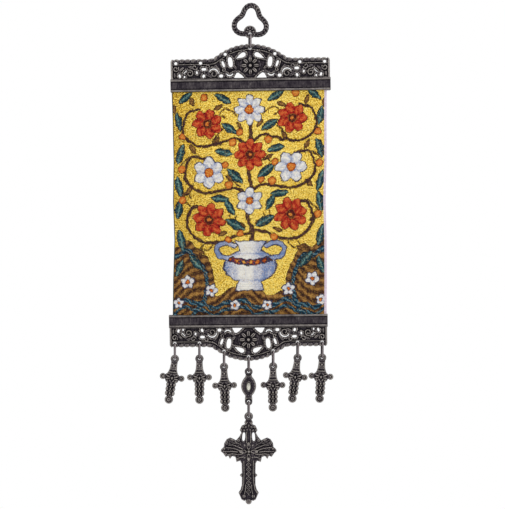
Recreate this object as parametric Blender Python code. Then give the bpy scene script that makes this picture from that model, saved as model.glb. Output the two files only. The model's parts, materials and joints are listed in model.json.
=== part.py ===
# A small woven banner held between two cast bars, with a row of cross pendants on wire links.
# The origin is the point the banner hangs from, the inside top of its three-lobed ring.
# The face looks towards -Y, +X is to the right and +Z is up. Sizes below are millimetres.

import math

import bmesh
import bpy
import numpy as np
from mathutils import Matrix, Vector

MM = 0.001
CLEARANCE = 0.3

# Hanging ring: a strand along a three-lobed loop, with a round boss pierced by the link's eye
RING_RADIUS = 10.9
RING_LOBE = 2.5
STRAND_WIDTH = 4.4
STRAND_DEPTH = 2.5
BOSS_RADIUS = 5.0
BOSS_DROP = 18.9

# Wire links and the eyes they pass through
WIRE_RADIUS = 0.65
BEND_INNER = 1.6
BEND_RADIUS = BEND_INNER + WIRE_RADIUS
EYE_RADIUS = 1.2
EYE_INSET = 3.3
CAST_DEPTH = 2.0
RING_LINK_SPAN = 11.0
ROW_LINK_SPAN = 12.6
CHAIN_LINK_SPAN = 12.0

# Bars, from the edge that grips the cloth out to the crest
BAR_WIDTH = 128.0
RAIL_HEIGHT = 10.2
RAIL_FRONT = 2.8
RAIL_BACK = 3.2
SLOT_DEPTH = 8.0
CREST_WIDTH = 127.4
CREST_FOOT = 9.1
FLAT_TOP = 26.2
ARCH_TOP = 37.7
ARCH_RADIUS = 44.0
ARCH_BLEND = 1.2
CORNER_RADIUS = 2.4
SCALLOP_PITCH = 4.5
SCALLOP_DEPTH = 0.75
SCALLOP_STEPS = 4
EYE_PITCH = 19.87
ROSETTE_HEIGHT = 20.3
ROSETTE_RADIUS = 7.4
TOP_BAR_TILT = -0.9
BOTTOM_BAR_TILT = -0.5
BOTTOM_BAR_SHIFT = -1.4

# Woven cloth
CLOTH_THICKNESS = 1.5
CLOTH_DROP = 179.5
CLOTH_GRIP = 6.2
CLOTH_CENTRE_Y = 0.2
CLOTH_BELLY = 1.1
CLOTH_CURL = 0.9

# The cloth's side edges, uneven as it hangs: part of the drop, left edge, right edge
CLOTH_EDGES = (
    (0.00, -62.7, 61.5),
    (0.13, -62.0, 61.4),
    (0.31, -61.4, 61.6),
    (0.49, -61.9, 60.9),
    (0.66, -60.9, 61.8),
    (0.84, -62.0, 62.0),
    (1.00, -62.4, 61.9),
)

# Openings of the crest's right half, mirrored to the left.
# kind, distance from the middle, height, width, length, lean in degrees
CREST_GAPS = (
    ("tear", 8.0, 27.9, 4.4, 10.4, 118.0),
    ("oval", 15.9, 23.4, 4.4, 8.8, 8.0),
    ("oval", 21.6, 21.9, 2.6, 5.8, 20.0),
    ("bow", 16.6, 15.0, 6.4, 1.7, 180.0),
    ("wedge", 8.6, 12.9, 9.4, 5.0, 0.0),
    ("oval", 23.4, 12.5, 3.8, 3.2, 0.0),
    ("bow", 29.4, 14.6, 8.6, 1.6, -12.0),
    ("oval", 37.2, 18.0, 4.4, 2.9, 0.0),
    ("oval", 37.4, 12.6, 2.6, 3.4, -20.0),
    ("oval", 42.8, 15.4, 2.1, 3.0, 15.0),
    ("oval", 52.3, 16.0, 1.2, 5.0, -45.0),
    ("oval", 52.8, 12.1, 2.0, 2.4, 0.0),
    ("oval", 56.6, 12.9, 2.4, 3.6, 20.0),
)

# Small cross, right half of its outline below the eye: half width, drop
CROSS_OUTLINE = (
    (2.6, 2.0),
    (2.7, 6.0),
    (3.5, 10.4),
    (4.4, 12.4),
    (4.6, 13.5),
    (7.4, 13.6),
    (7.4, 17.0),
    (4.7, 17.3),
    (4.6, 19.2),
)
BAIL_RADIUS = 3.35
ARM_KNOB_REACH = 7.6
ARM_KNOB_DROP = 15.3
ARM_KNOB_RADIUS = 2.5
FOOT_KNOB_DROP = 32.6
FOOT_KNOB_RADIUS = 3.4
KNOB_DEPTH = 3.2
SHAFT_TOP = 19.8
SHAFT_FOOT = 28.6
SHAFT_BUMPS = 3
SHAFT_HALF = 3.3
BUMP_HALF = 4.0
WAIST_HALF = 2.4

# Where each small cross hangs and how far its foot swings to the left: eye number, degrees
CROSS_SWINGS = (
    (1, 8.6),
    (2, 0.0),
    (3, -1.6),
    (5, 0.4),
    (6, 7.2),
    (7, 3.4),
)

# Eye-shaped connector in the middle of the row
CONNECTOR_BAIL = 3.2
CONNECTOR_DROP = 11.8
CONNECTOR_HALF = 6.1
CONNECTOR_LENGTH_HALF = 8.9
CONNECTOR_DEPTH_HALF = 2.3
STONE_HALF = 1.5
STONE_LENGTH_HALF = 3.1
STONE_PROUD = 0.8
LOWER_EYE_DROP = 24.5
LOWER_EYE_RADIUS = 2.95

# Large cross, right half of its outline below the eye: half width, drop
LARGE_OUTLINE = (
    (2.3, 2.6),
    (3.5, 4.8),
    (3.0, 6.4),
    (5.6, 7.6),
    (7.2, 11.2),
    (5.9, 13.2),
    (7.5, 16.4),
    (10.2, 19.6),
    (12.4, 18.4),
    (15.0, 17.3),
    (17.8, 18.7),
    (19.4, 21.8),
    (19.6, 25.2),
    (22.2, 28.2),
    (20.0, 30.2),
    (18.6, 33.2),
    (16.6, 32.0),
    (15.2, 34.8),
    (13.4, 32.4),
    (10.7, 33.2),
    (9.9, 37.2),
    (6.9, 36.2),
    (5.7, 38.6),
    (5.5, 46.4),
    (7.2, 48.1),
    (5.5, 49.8),
    (5.6, 56.2),
    (6.6, 60.0),
    (8.2, 62.4),
    (6.9, 65.0),
    (5.6, 67.6),
    (3.4, 68.8),
    (1.6, 67.4),
)
LARGE_BAIL = 3.5
LARGE_DEPTH = 2.6
LARGE_SLOT = (4.0, 16.6, 2.4, 7.2)
LARGE_CENTRE_DROP = 28.6
PETAL_REACH = 4.6
PETAL_HALF = (1.5, 3.0)
FOOT_BALL_DROP = 68.9
FOOT_BALL_RADIUS = 2.4


def clear_scene():
    for old in list(bpy.data.objects):
        bpy.data.objects.remove(old, do_unlink=True)


def make_material(name, colour, roughness, metallic):
    material = bpy.data.materials.new(name)
    material.use_nodes = True
    shader = material.node_tree.nodes["Principled BSDF"]
    shader.inputs["Base Color"].default_value = (*colour, 1.0)
    shader.inputs["Roughness"].default_value = roughness
    shader.inputs["Metallic"].default_value = metallic
    material.diffuse_color = (*colour, 1.0)
    return material


def add_object(name, mesh, material, sharp_degrees=35.0):
    """Puts a mesh made in millimetres into the scene as an object in metres."""
    mesh.transform(Matrix.Scale(MM, 4))
    mesh.name = name
    mesh.materials.clear()
    mesh.materials.append(material)
    mesh.shade_smooth()
    mesh.set_sharp_from_angle(angle=math.radians(sharp_degrees))
    obj = bpy.data.objects.new(name, mesh)
    bpy.context.scene.collection.objects.link(obj)
    return obj


def mesh_from(bm, name="shape"):
    bmesh.ops.recalc_face_normals(bm, faces=bm.faces)
    mesh = bpy.data.meshes.new(name)
    bm.to_mesh(mesh)
    bm.free()
    return mesh


def joined(base, tools, operation="UNION"):
    """Live Boolean modifiers on base, one for each tool, which stays in the file as a hidden wire shape."""
    for tool in tools:
        modifier = base.modifiers.new(operation.title(), "BOOLEAN")
        modifier.operation = operation
        modifier.solver = "EXACT"
        modifier.object = tool
        tool.hide_render = True
        tool.display_type = "WIRE"
        tool.parent = base
    return base


def plate_mesh(outlines, depth, middle_y=0.0):
    """A flat cast plate: closed outlines of (x, z) points, the inner ones cut through, given a depth along Y."""
    curve = bpy.data.curves.new("outline", "CURVE")
    curve.dimensions = "2D"
    curve.fill_mode = "BOTH"
    curve.extrude = depth / 2
    for points in outlines:
        spline = curve.splines.new("POLY")
        spline.points.add(len(points) - 1)
        for point, (x, z) in zip(spline.points, points):
            point.co = (x, z, 0.0, 1.0)
        spline.use_cyclic_u = True
    holder = bpy.data.objects.new("outline", curve)
    bpy.context.scene.collection.objects.link(holder)
    depsgraph = bpy.context.evaluated_depsgraph_get()
    flat = bpy.data.meshes.new_from_object(holder.evaluated_get(depsgraph))
    bpy.data.objects.remove(holder, do_unlink=True)
    flat.transform(Matrix.Translation((0, middle_y, 0)) @ Matrix.Rotation(math.radians(90), 4, "X"))
    bm = bmesh.new()
    bm.from_mesh(flat)
    bmesh.ops.remove_doubles(bm, verts=bm.verts, dist=0.002)
    return mesh_from(bm)


def prism_mesh(profile, half_width):
    """A bar along X with the given closed (y, z) profile."""
    bm = bmesh.new()
    left = [bm.verts.new((-half_width, y, z)) for y, z in profile]
    face = bm.faces.new(left)
    grown = bmesh.ops.extrude_face_region(bm, geom=[face])
    moved = [item for item in grown["geom"] if isinstance(item, bmesh.types.BMVert)]
    bmesh.ops.translate(bm, verts=moved, vec=(2 * half_width, 0, 0))
    return mesh_from(bm)


def dome_mesh(x, z, half_x, half_z, half_y, around=10, rings=4, y=0.0, lean=0.0):
    """A flattened ball centred at (x, y, z), its long axis leaning by some degrees about Y."""
    bm = bmesh.new()
    bmesh.ops.create_uvsphere(bm, u_segments=around, v_segments=rings, radius=1.0)
    bmesh.ops.rotate(bm, verts=bm.verts, matrix=Matrix.Rotation(math.radians(90), 3, "X"))
    bmesh.ops.scale(bm, verts=bm.verts, vec=(half_x, half_y, half_z))
    bmesh.ops.rotate(bm, verts=bm.verts, matrix=Matrix.Rotation(math.radians(lean), 3, "Y"))
    bmesh.ops.translate(bm, verts=bm.verts, vec=(x, y, z))
    return mesh_from(bm)


def swept_mesh(path, across, half_width, half_depth, sides):
    """A closed tube along a flat loop of points: an oval section, half_depth measured along across."""
    bm = bmesh.new()
    count = len(path)
    rings = []
    for i, here in enumerate(path):
        along = (path[(i + 1) % count] - path[i - 1]).normalized()
        outward = along.cross(across).normalized()
        ring = []
        for k in range(sides):
            turn = math.tau * k / sides
            offset = outward * half_width * math.cos(turn) + across * half_depth * math.sin(turn)
            ring.append(bm.verts.new(here + offset))
        rings.append(ring)
    for i in range(count):
        ring, following = rings[i], rings[(i + 1) % count]
        for k in range(sides):
            j = (k + 1) % sides
            bm.faces.new((ring[k], ring[j], following[j], following[k]))
    return mesh_from(bm)


def circle(x, z, radius, steps):
    turns = [math.tau * (i + 0.5) / steps for i in range(steps)]
    return [(x + radius * math.cos(turn), z + radius * math.sin(turn)) for turn in turns]


def placed(points, x, z, lean):
    """Points turned by lean degrees, clockwise from in front, and moved to (x, z)."""
    c, s = math.cos(math.radians(lean)), math.sin(math.radians(lean))
    return [(x + px * c + pz * s, z - px * s + pz * c) for px, pz in points]


def gap_outline(kind, width, length):
    """One opening of the openwork, about its own middle: an oval, a tear, a wedge or a bow."""
    steps = 10
    turns = [math.tau * i / steps for i in range(steps)]
    if kind == "oval":
        return [
            (
                math.copysign(abs(math.cos(t)) ** 0.8, math.cos(t)) * width / 2,
                math.copysign(abs(math.sin(t)) ** 0.8, math.sin(t)) * length / 2,
            )
            for t in turns
        ]
    if kind == "tear":
        return [(math.sin(t) * (1 - math.cos(t)) * width / 2.6, math.cos(t) * length / 2) for t in turns]
    if kind == "wedge":
        return [
            (-width / 2, -length / 2),
            (width / 2, -length / 2),
            (width / 2, -length / 2 + 0.9),
            (width * 0.30, length / 2 - 0.6),
            (width * 0.12, length / 2),
            (-width * 0.14, length / 2 - 1.6),
        ]
    # A bow is a crescent arched upwards, its length the thickness in the middle
    radius, half_steps = width / 2, 6
    outer = [math.pi * i / half_steps for i in range(half_steps + 1)]
    inner = [math.pi * (1 - i / half_steps) for i in range(1, half_steps)]
    reach = radius - length
    return [(radius * math.cos(t), radius * math.sin(t)) for t in outer] + [
        ((radius - 0.7 * length) * math.cos(t), reach * math.sin(t)) for t in inner
    ]


def rim_height(x):
    """The crest's smooth upper edge: a round arch that runs softly into the flats."""
    reach = min(abs(x), 0.9 * ARCH_RADIUS)
    arch = ARCH_TOP - ARCH_RADIUS + math.sqrt(ARCH_RADIUS**2 - reach**2)
    return FLAT_TOP + ARCH_BLEND * math.log1p(math.exp((arch - FLAT_TOP) / ARCH_BLEND))


def eye_height(x):
    return rim_height(x) - EYE_INSET


def eye_places():
    return [(EYE_PITCH * step, eye_height(EYE_PITCH * step)) for step in range(-3, 4)]


def rim_points():
    """The scalloped edge from right to left: equal steps along the smooth edge, drawn in between the crowns."""
    half = CREST_WIDTH / 2 - CORNER_RADIUS
    xs = np.linspace(half, -half, 801)
    zs = np.array([rim_height(x) for x in xs])
    lengths = np.concatenate([[0.0], np.cumsum(np.hypot(np.diff(xs), np.diff(zs)))])
    count = round(lengths[-1] / SCALLOP_PITCH)
    points = []
    for i in range(count * SCALLOP_STEPS + 1):
        along = lengths[-1] * i / (count * SCALLOP_STEPS)
        x, z = np.interp(along, lengths, xs), np.interp(along, lengths, zs)
        slope = (rim_height(x + 0.05) - rim_height(x - 0.05)) / 0.1
        drawn_in = SCALLOP_DEPTH * (1 - abs(math.sin(math.pi * i / SCALLOP_STEPS)))
        norm = math.hypot(slope, 1.0)
        points.append((float(x + drawn_in * slope / norm), float(z - drawn_in / norm)))
    return points


def corner_points(side):
    """The rounded upper corner on the side given by its sign, going round from right to left."""
    x = side * (CREST_WIDTH / 2 - CORNER_RADIUS)
    z = FLAT_TOP - CORNER_RADIUS
    steps = (0, 30, 60) if side > 0 else (120, 150, 180)
    turns = [math.radians(step) for step in steps]
    return [(x + CORNER_RADIUS * math.cos(t), z + CORNER_RADIUS * math.sin(t)) for t in turns]


def crest_outlines():
    half = CREST_WIDTH / 2
    edge = [(-half, CREST_FOOT), (half, CREST_FOOT)] + corner_points(1) + rim_points() + corner_points(-1)
    outlines = [edge]
    for x, z in eye_places():
        outlines.append(circle(x, z, EYE_RADIUS, 10))
    for kind, x, z, width, length, lean in CREST_GAPS:
        right = placed(gap_outline(kind, width, length), x, z, lean)
        outlines.append(right)
        outlines.append([(-px, pz) for px, pz in reversed(right)])
    return outlines


def rosette_outline():
    steps = 32
    points = []
    for i in range(steps):
        turn = math.tau * i / steps
        reach = ROSETTE_RADIUS * (0.86 + 0.14 * abs(math.cos(4 * turn)))
        points.append((reach * math.sin(turn), ROSETTE_HEIGHT + reach * math.cos(turn)))
    return points


def rail_profile():
    """The rail's section, with a moulded face, and the slot that the cloth's end fits in."""
    slot_front = CLOTH_CENTRE_Y - CLOTH_THICKNESS / 2 - CLEARANCE
    slot_back = CLOTH_CENTRE_Y + CLOTH_THICKNESS / 2 + CLEARANCE
    band = 0.6
    return [
        (-RAIL_FRONT, 0.0),
        (-RAIL_FRONT, 1.3),
        (-RAIL_FRONT + band, 1.8),
        (-RAIL_FRONT + band, RAIL_HEIGHT - 2.2),
        (-RAIL_FRONT, RAIL_HEIGHT - 1.7),
        (-RAIL_FRONT, RAIL_HEIGHT - 0.4),
        (-RAIL_FRONT + 0.4, RAIL_HEIGHT),
        (RAIL_BACK, RAIL_HEIGHT),
        (RAIL_BACK, 0.0),
        (slot_back, 0.0),
        (slot_back, SLOT_DEPTH),
        (slot_front, SLOT_DEPTH),
        (slot_front, 0.0),
    ]


def build_bar(name, material, turn_degrees, place):
    """One cast bar. Its own origin is the middle of the edge that grips the cloth; the crest is at its +Z."""
    bar = add_object(name, plate_mesh(crest_outlines(), CAST_DEPTH), material)
    rail = add_object(name + "_rail", prism_mesh(rail_profile(), BAR_WIDTH / 2), material)
    rosette = add_object(name + "_rosette", plate_mesh([rosette_outline()], 1.2, -1.3), material)
    bead = dome_mesh(0, ROSETTE_HEIGHT, 1.7, 1.7, 0.9, y=-1.9)
    joined(bar, [rail, rosette, add_object(name + "_bead", bead, material)])
    bar.rotation_euler = (0, math.radians(turn_degrees), 0)
    bar.location = place
    return bar


def bar_point(turn_degrees, place, x, z):
    """Where a point of a bar's own frame lies in the world."""
    turned = Matrix.Rotation(math.radians(turn_degrees), 3, "Y") @ Vector((x, 0, z))
    return Vector(place) + turned * MM


def ring_loop(steps):
    """The strand's middle line: a circle whose radius swells three times on the way round."""
    centre = -(RING_RADIUS + RING_LOBE - STRAND_WIDTH / 2)
    points = []
    for i in range(steps):
        turn = math.tau * i / steps
        reach = RING_RADIUS + RING_LOBE * math.cos(3 * (turn - math.pi / 2))
        points.append(Vector((reach * math.cos(turn), 0, centre + reach * math.sin(turn))))
    return points


def ring_eye_drop():
    return BOSS_DROP + BOSS_RADIUS - EYE_INSET


def build_hanger_ring(material):
    strand = swept_mesh(ring_loop(42), Vector((0, 1, 0)), STRAND_WIDTH / 2, STRAND_DEPTH / 2, 8)
    ring = add_object("hanger_ring", strand, material)
    boss = add_object("ring_boss", plate_mesh([circle(0, -BOSS_DROP, BOSS_RADIUS, 18)], CAST_DEPTH), material)
    flower = dome_mesh(0, -BOSS_DROP + 1.5, 2.6, 2.6, 0.9, y=-CAST_DEPTH / 2)
    joined(ring, [boss, add_object("ring_flower", flower, material)])
    eye = plate_mesh([circle(0, -ring_eye_drop(), EYE_RADIUS, 10)], 4 * CAST_DEPTH)
    joined(ring, [add_object("ring_eye", eye, material)], "DIFFERENCE")
    return ring


def link_mesh(span):
    """A long wire ring in the YZ plane; its origin is the middle of its upper bend."""
    straight = span - 2 * BEND_RADIUS
    bend_steps = 8
    path = []
    for end, start in ((0.0, 0.0), (-straight, math.pi)):
        for i in range(bend_steps + 1):
            turn = start + math.pi * i / bend_steps
            path.append(Vector((0, BEND_RADIUS * math.cos(turn), end + BEND_RADIUS * math.sin(turn))))
    return swept_mesh(path, Vector((1, 0, 0)), WIRE_RADIUS, WIRE_RADIUS, 6)


def build_link(name, span, material, place=None, parent=None, drop=0.0):
    link = add_object(name, link_mesh(span), material)
    if parent:
        link.parent = parent
        link.location = (0, 0, -drop * MM)
    else:
        link.location = place
    return link


def mirrored_outline(half_outline):
    """A closed outline from its right half, rows of half width and drop."""
    right = [(x, -drop) for x, drop in half_outline]
    return right + [(-x, z) for x, z in reversed(right)]


def bail_outlines(radius):
    return [circle(0, 0, radius, 14), circle(0, 0, EYE_RADIUS, 10)]


def small_cross_outline():
    rows = list(CROSS_OUTLINE)
    for i in range(SHAFT_BUMPS * 2 + 1):
        drop = SHAFT_TOP + (SHAFT_FOOT - SHAFT_TOP) * i / (SHAFT_BUMPS * 2)
        rows.append((BUMP_HALF if i % 2 else SHAFT_HALF, drop))
    rows.append((WAIST_HALF, FOOT_KNOB_DROP - FOOT_KNOB_RADIUS + 0.4))
    rows.append((WAIST_HALF * 0.7, FOOT_KNOB_DROP))
    return mirrored_outline(rows)


def hang_below(obj, link, span, swing_degrees=0.0):
    """Hangs a pendant, whose origin is its eye, in the lower bend of a link."""
    obj.parent = link
    obj.location = (0, 0, -(span - BEND_RADIUS) * MM)
    obj.rotation_euler = (0, math.radians(swing_degrees), 0)


def build_small_cross(name, material):
    cross = add_object(name, plate_mesh([small_cross_outline()], CAST_DEPTH * 1.1), material)
    tools = [add_object(name + "_bail", plate_mesh(bail_outlines(BAIL_RADIUS), CAST_DEPTH), material)]
    knobs = (
        (ARM_KNOB_REACH, ARM_KNOB_DROP, ARM_KNOB_RADIUS),
        (-ARM_KNOB_REACH, ARM_KNOB_DROP, ARM_KNOB_RADIUS),
        (0.0, FOOT_KNOB_DROP, FOOT_KNOB_RADIUS),
    )
    for i, (x, drop, radius) in enumerate(knobs):
        knob = dome_mesh(x, -drop, radius, radius, KNOB_DEPTH / 2)
        tools.append(add_object(name + "_knob_" + str(i + 1), knob, material))
    return joined(cross, tools)


def build_connector(material):
    body = dome_mesh(
        0, -CONNECTOR_DROP, CONNECTOR_HALF, CONNECTOR_LENGTH_HALF, CONNECTOR_DEPTH_HALF, around=16, rings=8
    )
    connector = add_object("connector", body, material)
    neck = mirrored_outline(((2.0, 2.2), (2.6, 5.2), (2.6, 18.4), (2.0, LOWER_EYE_DROP - 2.0)))
    lower = [
        circle(0, -LOWER_EYE_DROP, LOWER_EYE_RADIUS, 14),
        circle(0, -LOWER_EYE_DROP, EYE_RADIUS, 10),
    ]
    stone = dome_mesh(
        0, -CONNECTOR_DROP, STONE_HALF, STONE_LENGTH_HALF, STONE_PROUD + 0.5, y=-CONNECTOR_DEPTH_HALF + 0.5
    )
    tools = (
        ("connector_bail", plate_mesh(bail_outlines(CONNECTOR_BAIL), CAST_DEPTH)),
        ("connector_neck", plate_mesh([neck], CAST_DEPTH * 0.9)),
        ("connector_lower_eye", plate_mesh(lower, CAST_DEPTH)),
        ("connector_stone", stone),
    )
    return joined(connector, [add_object(name, mesh, material) for name, mesh in tools])


def build_large_cross(material):
    x, drop, width, length = LARGE_SLOT
    slots = [placed(gap_outline("oval", width, length), side * x, -drop, -side * 4.0) for side in (-1, 1)]
    outlines = [mirrored_outline(LARGE_OUTLINE)] + slots
    cross = add_object("large_cross", plate_mesh(outlines, LARGE_DEPTH), material)
    tools = [add_object("large_bail", plate_mesh(bail_outlines(LARGE_BAIL), CAST_DEPTH), material)]
    ball = dome_mesh(0, -FOOT_BALL_DROP, FOOT_BALL_RADIUS, FOOT_BALL_RADIUS, FOOT_BALL_RADIUS * 0.8)
    tools.append(add_object("large_foot_ball", ball, material))
    for i in range(4):
        turn = math.pi / 2 * i
        petal = dome_mesh(
            PETAL_REACH * math.sin(turn),
            -LARGE_CENTRE_DROP + PETAL_REACH * math.cos(turn),
            *PETAL_HALF,
            0.8,
            y=-LARGE_DEPTH / 2,
            lean=90.0 * i,
        )
        tools.append(add_object("large_petal_" + str(i + 1), petal, material))
    return joined(cross, tools)


def cloth_point(u, v, side):
    """A point of the cloth for u across and v down its visible drop; side is -1 in front and 1 behind."""
    drops, lefts, rights = zip(*CLOTH_EDGES)
    left, right = np.interp(v, drops, lefts), np.interp(v, drops, rights)
    x = left + (right - left) * u
    free = math.sin(math.pi * min(max(v, 0.0), 1.0))
    belly = -CLOTH_BELLY * math.sin(math.pi * u) * free
    curl = CLOTH_CURL * (2 * u - 1) ** 4 * free * (0.6 + 0.4 * math.sin(9.0 * v + 3.0 * u))
    y = CLOTH_CENTRE_Y + belly + curl + side * CLOTH_THICKNESS / 2
    return x, y


def build_cloth(material, top_edge, bottom_edge):
    """The woven panel: one closed sheet whose two ends run up into the bars' slots."""
    across, down = 12, 20
    drops = [-CLOTH_GRIP] + [CLOTH_DROP * i / down for i in range(down + 1)] + [CLOTH_DROP + CLOTH_GRIP]
    bm = bmesh.new()
    sides = []
    for side in (-1, 1):
        rows = []
        for drop in drops:
            v = drop / CLOTH_DROP
            rows.append([])
            for i in range(across + 1):
                u = i / across
                x, y = cloth_point(u, v, side)
                lift = (1 - v) * math.tan(math.radians(-TOP_BAR_TILT)) * x
                lift += v * math.tan(math.radians(-BOTTOM_BAR_TILT)) * x
                rows[-1].append(bm.verts.new((x, y, top_edge - drop + lift)))
        sides.append(rows)
    for rows, flip in zip(sides, (False, True)):
        for upper, lower in zip(rows, rows[1:]):
            for i in range(across):
                corners = [upper[i], lower[i], lower[i + 1], upper[i + 1]]
                bm.faces.new(corners[::-1] if flip else corners)
    front, back = sides
    for i in range(across):
        bm.faces.new((front[0][i], front[0][i + 1], back[0][i + 1], back[0][i]))
        bm.faces.new((front[-1][i + 1], front[-1][i], back[-1][i], back[-1][i + 1]))
    for j in range(len(drops) - 1):
        bm.faces.new((front[j + 1][0], front[j][0], back[j][0], back[j + 1][0]))
        bm.faces.new((front[j][-1], front[j + 1][-1], back[j + 1][-1], back[j][-1]))
    return add_object("cloth", mesh_from(bm), material)


def main():
    clear_scene()
    metal = make_material("antique_metal", (0.11, 0.10, 0.115), 0.45, 0.9)
    wire = make_material("nickel_wire", (0.62, 0.57, 0.57), 0.3, 1.0)
    woven = make_material("woven_cloth", (0.62, 0.42, 0.12), 0.6, 0.0)

    build_hanger_ring(metal)
    ring_link_top = Vector((0, 0, -(ring_eye_drop() + BEND_RADIUS) * MM))
    build_link("ring_link", RING_LINK_SPAN, wire, place=ring_link_top)

    top_eye = Vector((0, 0, -(ring_eye_drop() + RING_LINK_SPAN) * MM))
    top_place = top_eye - (bar_point(TOP_BAR_TILT, (0, 0, 0), 0, eye_height(0)))
    build_bar("top_bar", metal, TOP_BAR_TILT, top_place)
    bottom_turn = 180.0 + BOTTOM_BAR_TILT
    bottom_place = Vector((BOTTOM_BAR_SHIFT * MM, 0, top_place.z - CLOTH_DROP * MM))
    build_bar("bottom_bar", metal, bottom_turn, bottom_place)
    build_cloth(woven, top_place.z / MM, bottom_place.z / MM)

    # Eyes are counted from the left, so the turned bar is read from its own right
    eyes = [bar_point(bottom_turn, bottom_place, x, z) for x, z in reversed(eye_places())]
    for number, swing in CROSS_SWINGS:
        place = eyes[number - 1] - Vector((0, 0, BEND_RADIUS * MM))
        link = build_link("link_" + str(number), ROW_LINK_SPAN, wire, place=place)
        hang_below(build_small_cross("cross_" + str(number), metal), link, ROW_LINK_SPAN, swing)

    place = eyes[3] - Vector((0, 0, BEND_RADIUS * MM))
    middle_link = build_link("link_4", CHAIN_LINK_SPAN, wire, place=place)
    connector = build_connector(metal)
    hang_below(connector, middle_link, CHAIN_LINK_SPAN)
    chain_link = build_link(
        "link_8", CHAIN_LINK_SPAN, wire, parent=connector, drop=LOWER_EYE_DROP + BEND_RADIUS
    )
    hang_below(build_large_cross(metal), chain_link, CHAIN_LINK_SPAN)


main()
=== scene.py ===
import json
import math

import bmesh
import bpy
import mathutils
import numpy as np
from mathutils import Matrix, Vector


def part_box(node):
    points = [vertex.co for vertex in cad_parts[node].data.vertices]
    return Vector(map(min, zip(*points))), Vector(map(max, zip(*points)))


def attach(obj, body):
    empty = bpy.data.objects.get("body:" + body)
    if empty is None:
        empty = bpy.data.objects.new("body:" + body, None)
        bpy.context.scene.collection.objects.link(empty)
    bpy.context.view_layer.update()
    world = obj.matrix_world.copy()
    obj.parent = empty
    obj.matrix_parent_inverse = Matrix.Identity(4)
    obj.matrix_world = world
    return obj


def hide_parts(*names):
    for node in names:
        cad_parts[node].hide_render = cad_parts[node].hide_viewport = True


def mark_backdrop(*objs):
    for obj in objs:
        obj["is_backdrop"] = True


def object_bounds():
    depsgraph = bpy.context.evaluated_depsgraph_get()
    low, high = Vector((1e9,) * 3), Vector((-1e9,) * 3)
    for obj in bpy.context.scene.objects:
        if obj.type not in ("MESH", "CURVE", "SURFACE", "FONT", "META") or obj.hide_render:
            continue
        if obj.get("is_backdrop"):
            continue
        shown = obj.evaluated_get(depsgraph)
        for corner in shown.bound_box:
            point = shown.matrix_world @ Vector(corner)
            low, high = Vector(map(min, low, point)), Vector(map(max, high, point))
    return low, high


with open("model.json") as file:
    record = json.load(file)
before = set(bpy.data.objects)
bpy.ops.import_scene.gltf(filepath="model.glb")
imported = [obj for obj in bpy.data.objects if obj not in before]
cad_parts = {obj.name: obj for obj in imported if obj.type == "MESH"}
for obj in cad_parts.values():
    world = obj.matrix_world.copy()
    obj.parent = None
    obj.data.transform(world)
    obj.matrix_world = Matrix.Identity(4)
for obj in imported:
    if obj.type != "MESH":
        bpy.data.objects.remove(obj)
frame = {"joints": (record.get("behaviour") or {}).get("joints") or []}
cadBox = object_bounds()
mm = 0.001
creaseAngle = math.radians(50)
print("frame loaded")

# where each joint lies, in metres
jointPlace = {joint["name"]: np.array(joint["pos_m"]) for joint in frame["joints"]}


# tools shared by the castings

def ovalPoints(x, z, halfWidth, halfLength, lean=0.0, steps=28, power=0.85):
    # an oval as cosine and sine raised to a power, turned clockwise by lean degrees
    turns = np.linspace(0, 2 * math.pi, steps, endpoint=False)
    px = np.sign(np.cos(turns)) * np.abs(np.cos(turns)) ** power * halfWidth
    pz = np.sign(np.sin(turns)) * np.abs(np.sin(turns)) ** power * halfLength
    return turned(np.stack([px, pz], 1), x, z, lean)


def turned(points, x, z, lean):
    # turns points clockwise by lean degrees about nothing, then moves them by x and z
    c, s = math.cos(math.radians(lean)), math.sin(math.radians(lean))
    px, pz = points[:, 0], points[:, 1]
    return np.stack([x + px * c + pz * s, z - px * s + pz * c], 1)


def local(X, Z, x, z, lean):
    # the grid seen from x and z, across and along an axis that leans clockwise by lean degrees
    c, s = math.cos(math.radians(lean)), math.sin(math.radians(lean))
    return (X - x) * c - (Z - z) * s, (X - x) * s + (Z - z) * c


def bell(distance, width):
    # one at no distance, and the exponential of minus the squared distance in widths away from it
    return np.exp(-((distance / width) ** 2))


def edgeFall(F, width, low):
    # rises from low at the outline to one at width inside it, as the root of the distance
    return low + (1 - low) * np.sqrt(np.clip(F / width, 0, 1))


def edgeRound(F, width, low):
    # rises from low at the outline to one at width inside it, as a quarter circle
    return low + (1 - low) * np.sqrt(np.clip(1 - (1 - np.clip(F / width, 0, 1)) ** 2, 0, 1))


def insideOutline(points, X, Z):
    # signed distance to a closed outline, positive inside: nearest edge, and the side by crossings
    shape = X.shape
    px, pz = X.ravel(), Z.ravel()
    nearest = np.full(px.size, 1e9)
    crossings = np.zeros(px.size, bool)
    for (ax, az), (bx, bz) in zip(points, np.roll(points, -1, axis=0)):
        ex, ez = bx - ax, bz - az
        along = np.clip(((px - ax) * ex + (pz - az) * ez) / (ex * ex + ez * ez + 1e-12), 0, 1)
        nearest = np.minimum(nearest, (px - ax - along * ex) ** 2 + (pz - az - along * ez) ** 2)
        if az != bz:
            crossings ^= ((az > pz) != (bz > pz)) & (px < ex * (pz - az) / (bz - az) + ax)
    distance = np.sqrt(nearest)
    return np.where(crossings, distance, -distance).reshape(shape)


def disc(X, Z, x, z, radius):
    # distance inside a circle
    return radius - np.hypot(X - x, Z - z)


def dome(X, Z, x, z, halfWidth, halfLength, height, lean=0.0):
    # half an egg standing on the plane: height times the root of one minus the squared reach
    across, along = local(X, Z, x, z, lean)
    return height * np.sqrt(np.clip(1 - (across / halfWidth) ** 2 - (along / halfLength) ** 2, 0, 1))


def leafDome(X, Z, x, z, halfWidth, halfLength, height, lean, vein, depth):
    # a dome with a bell-shaped groove down its length
    across = local(X, Z, x, z, lean)[0]
    return dome(X, Z, x, z, halfWidth, halfLength, height, lean) * (1 - depth * bell(across, vein))


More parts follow.
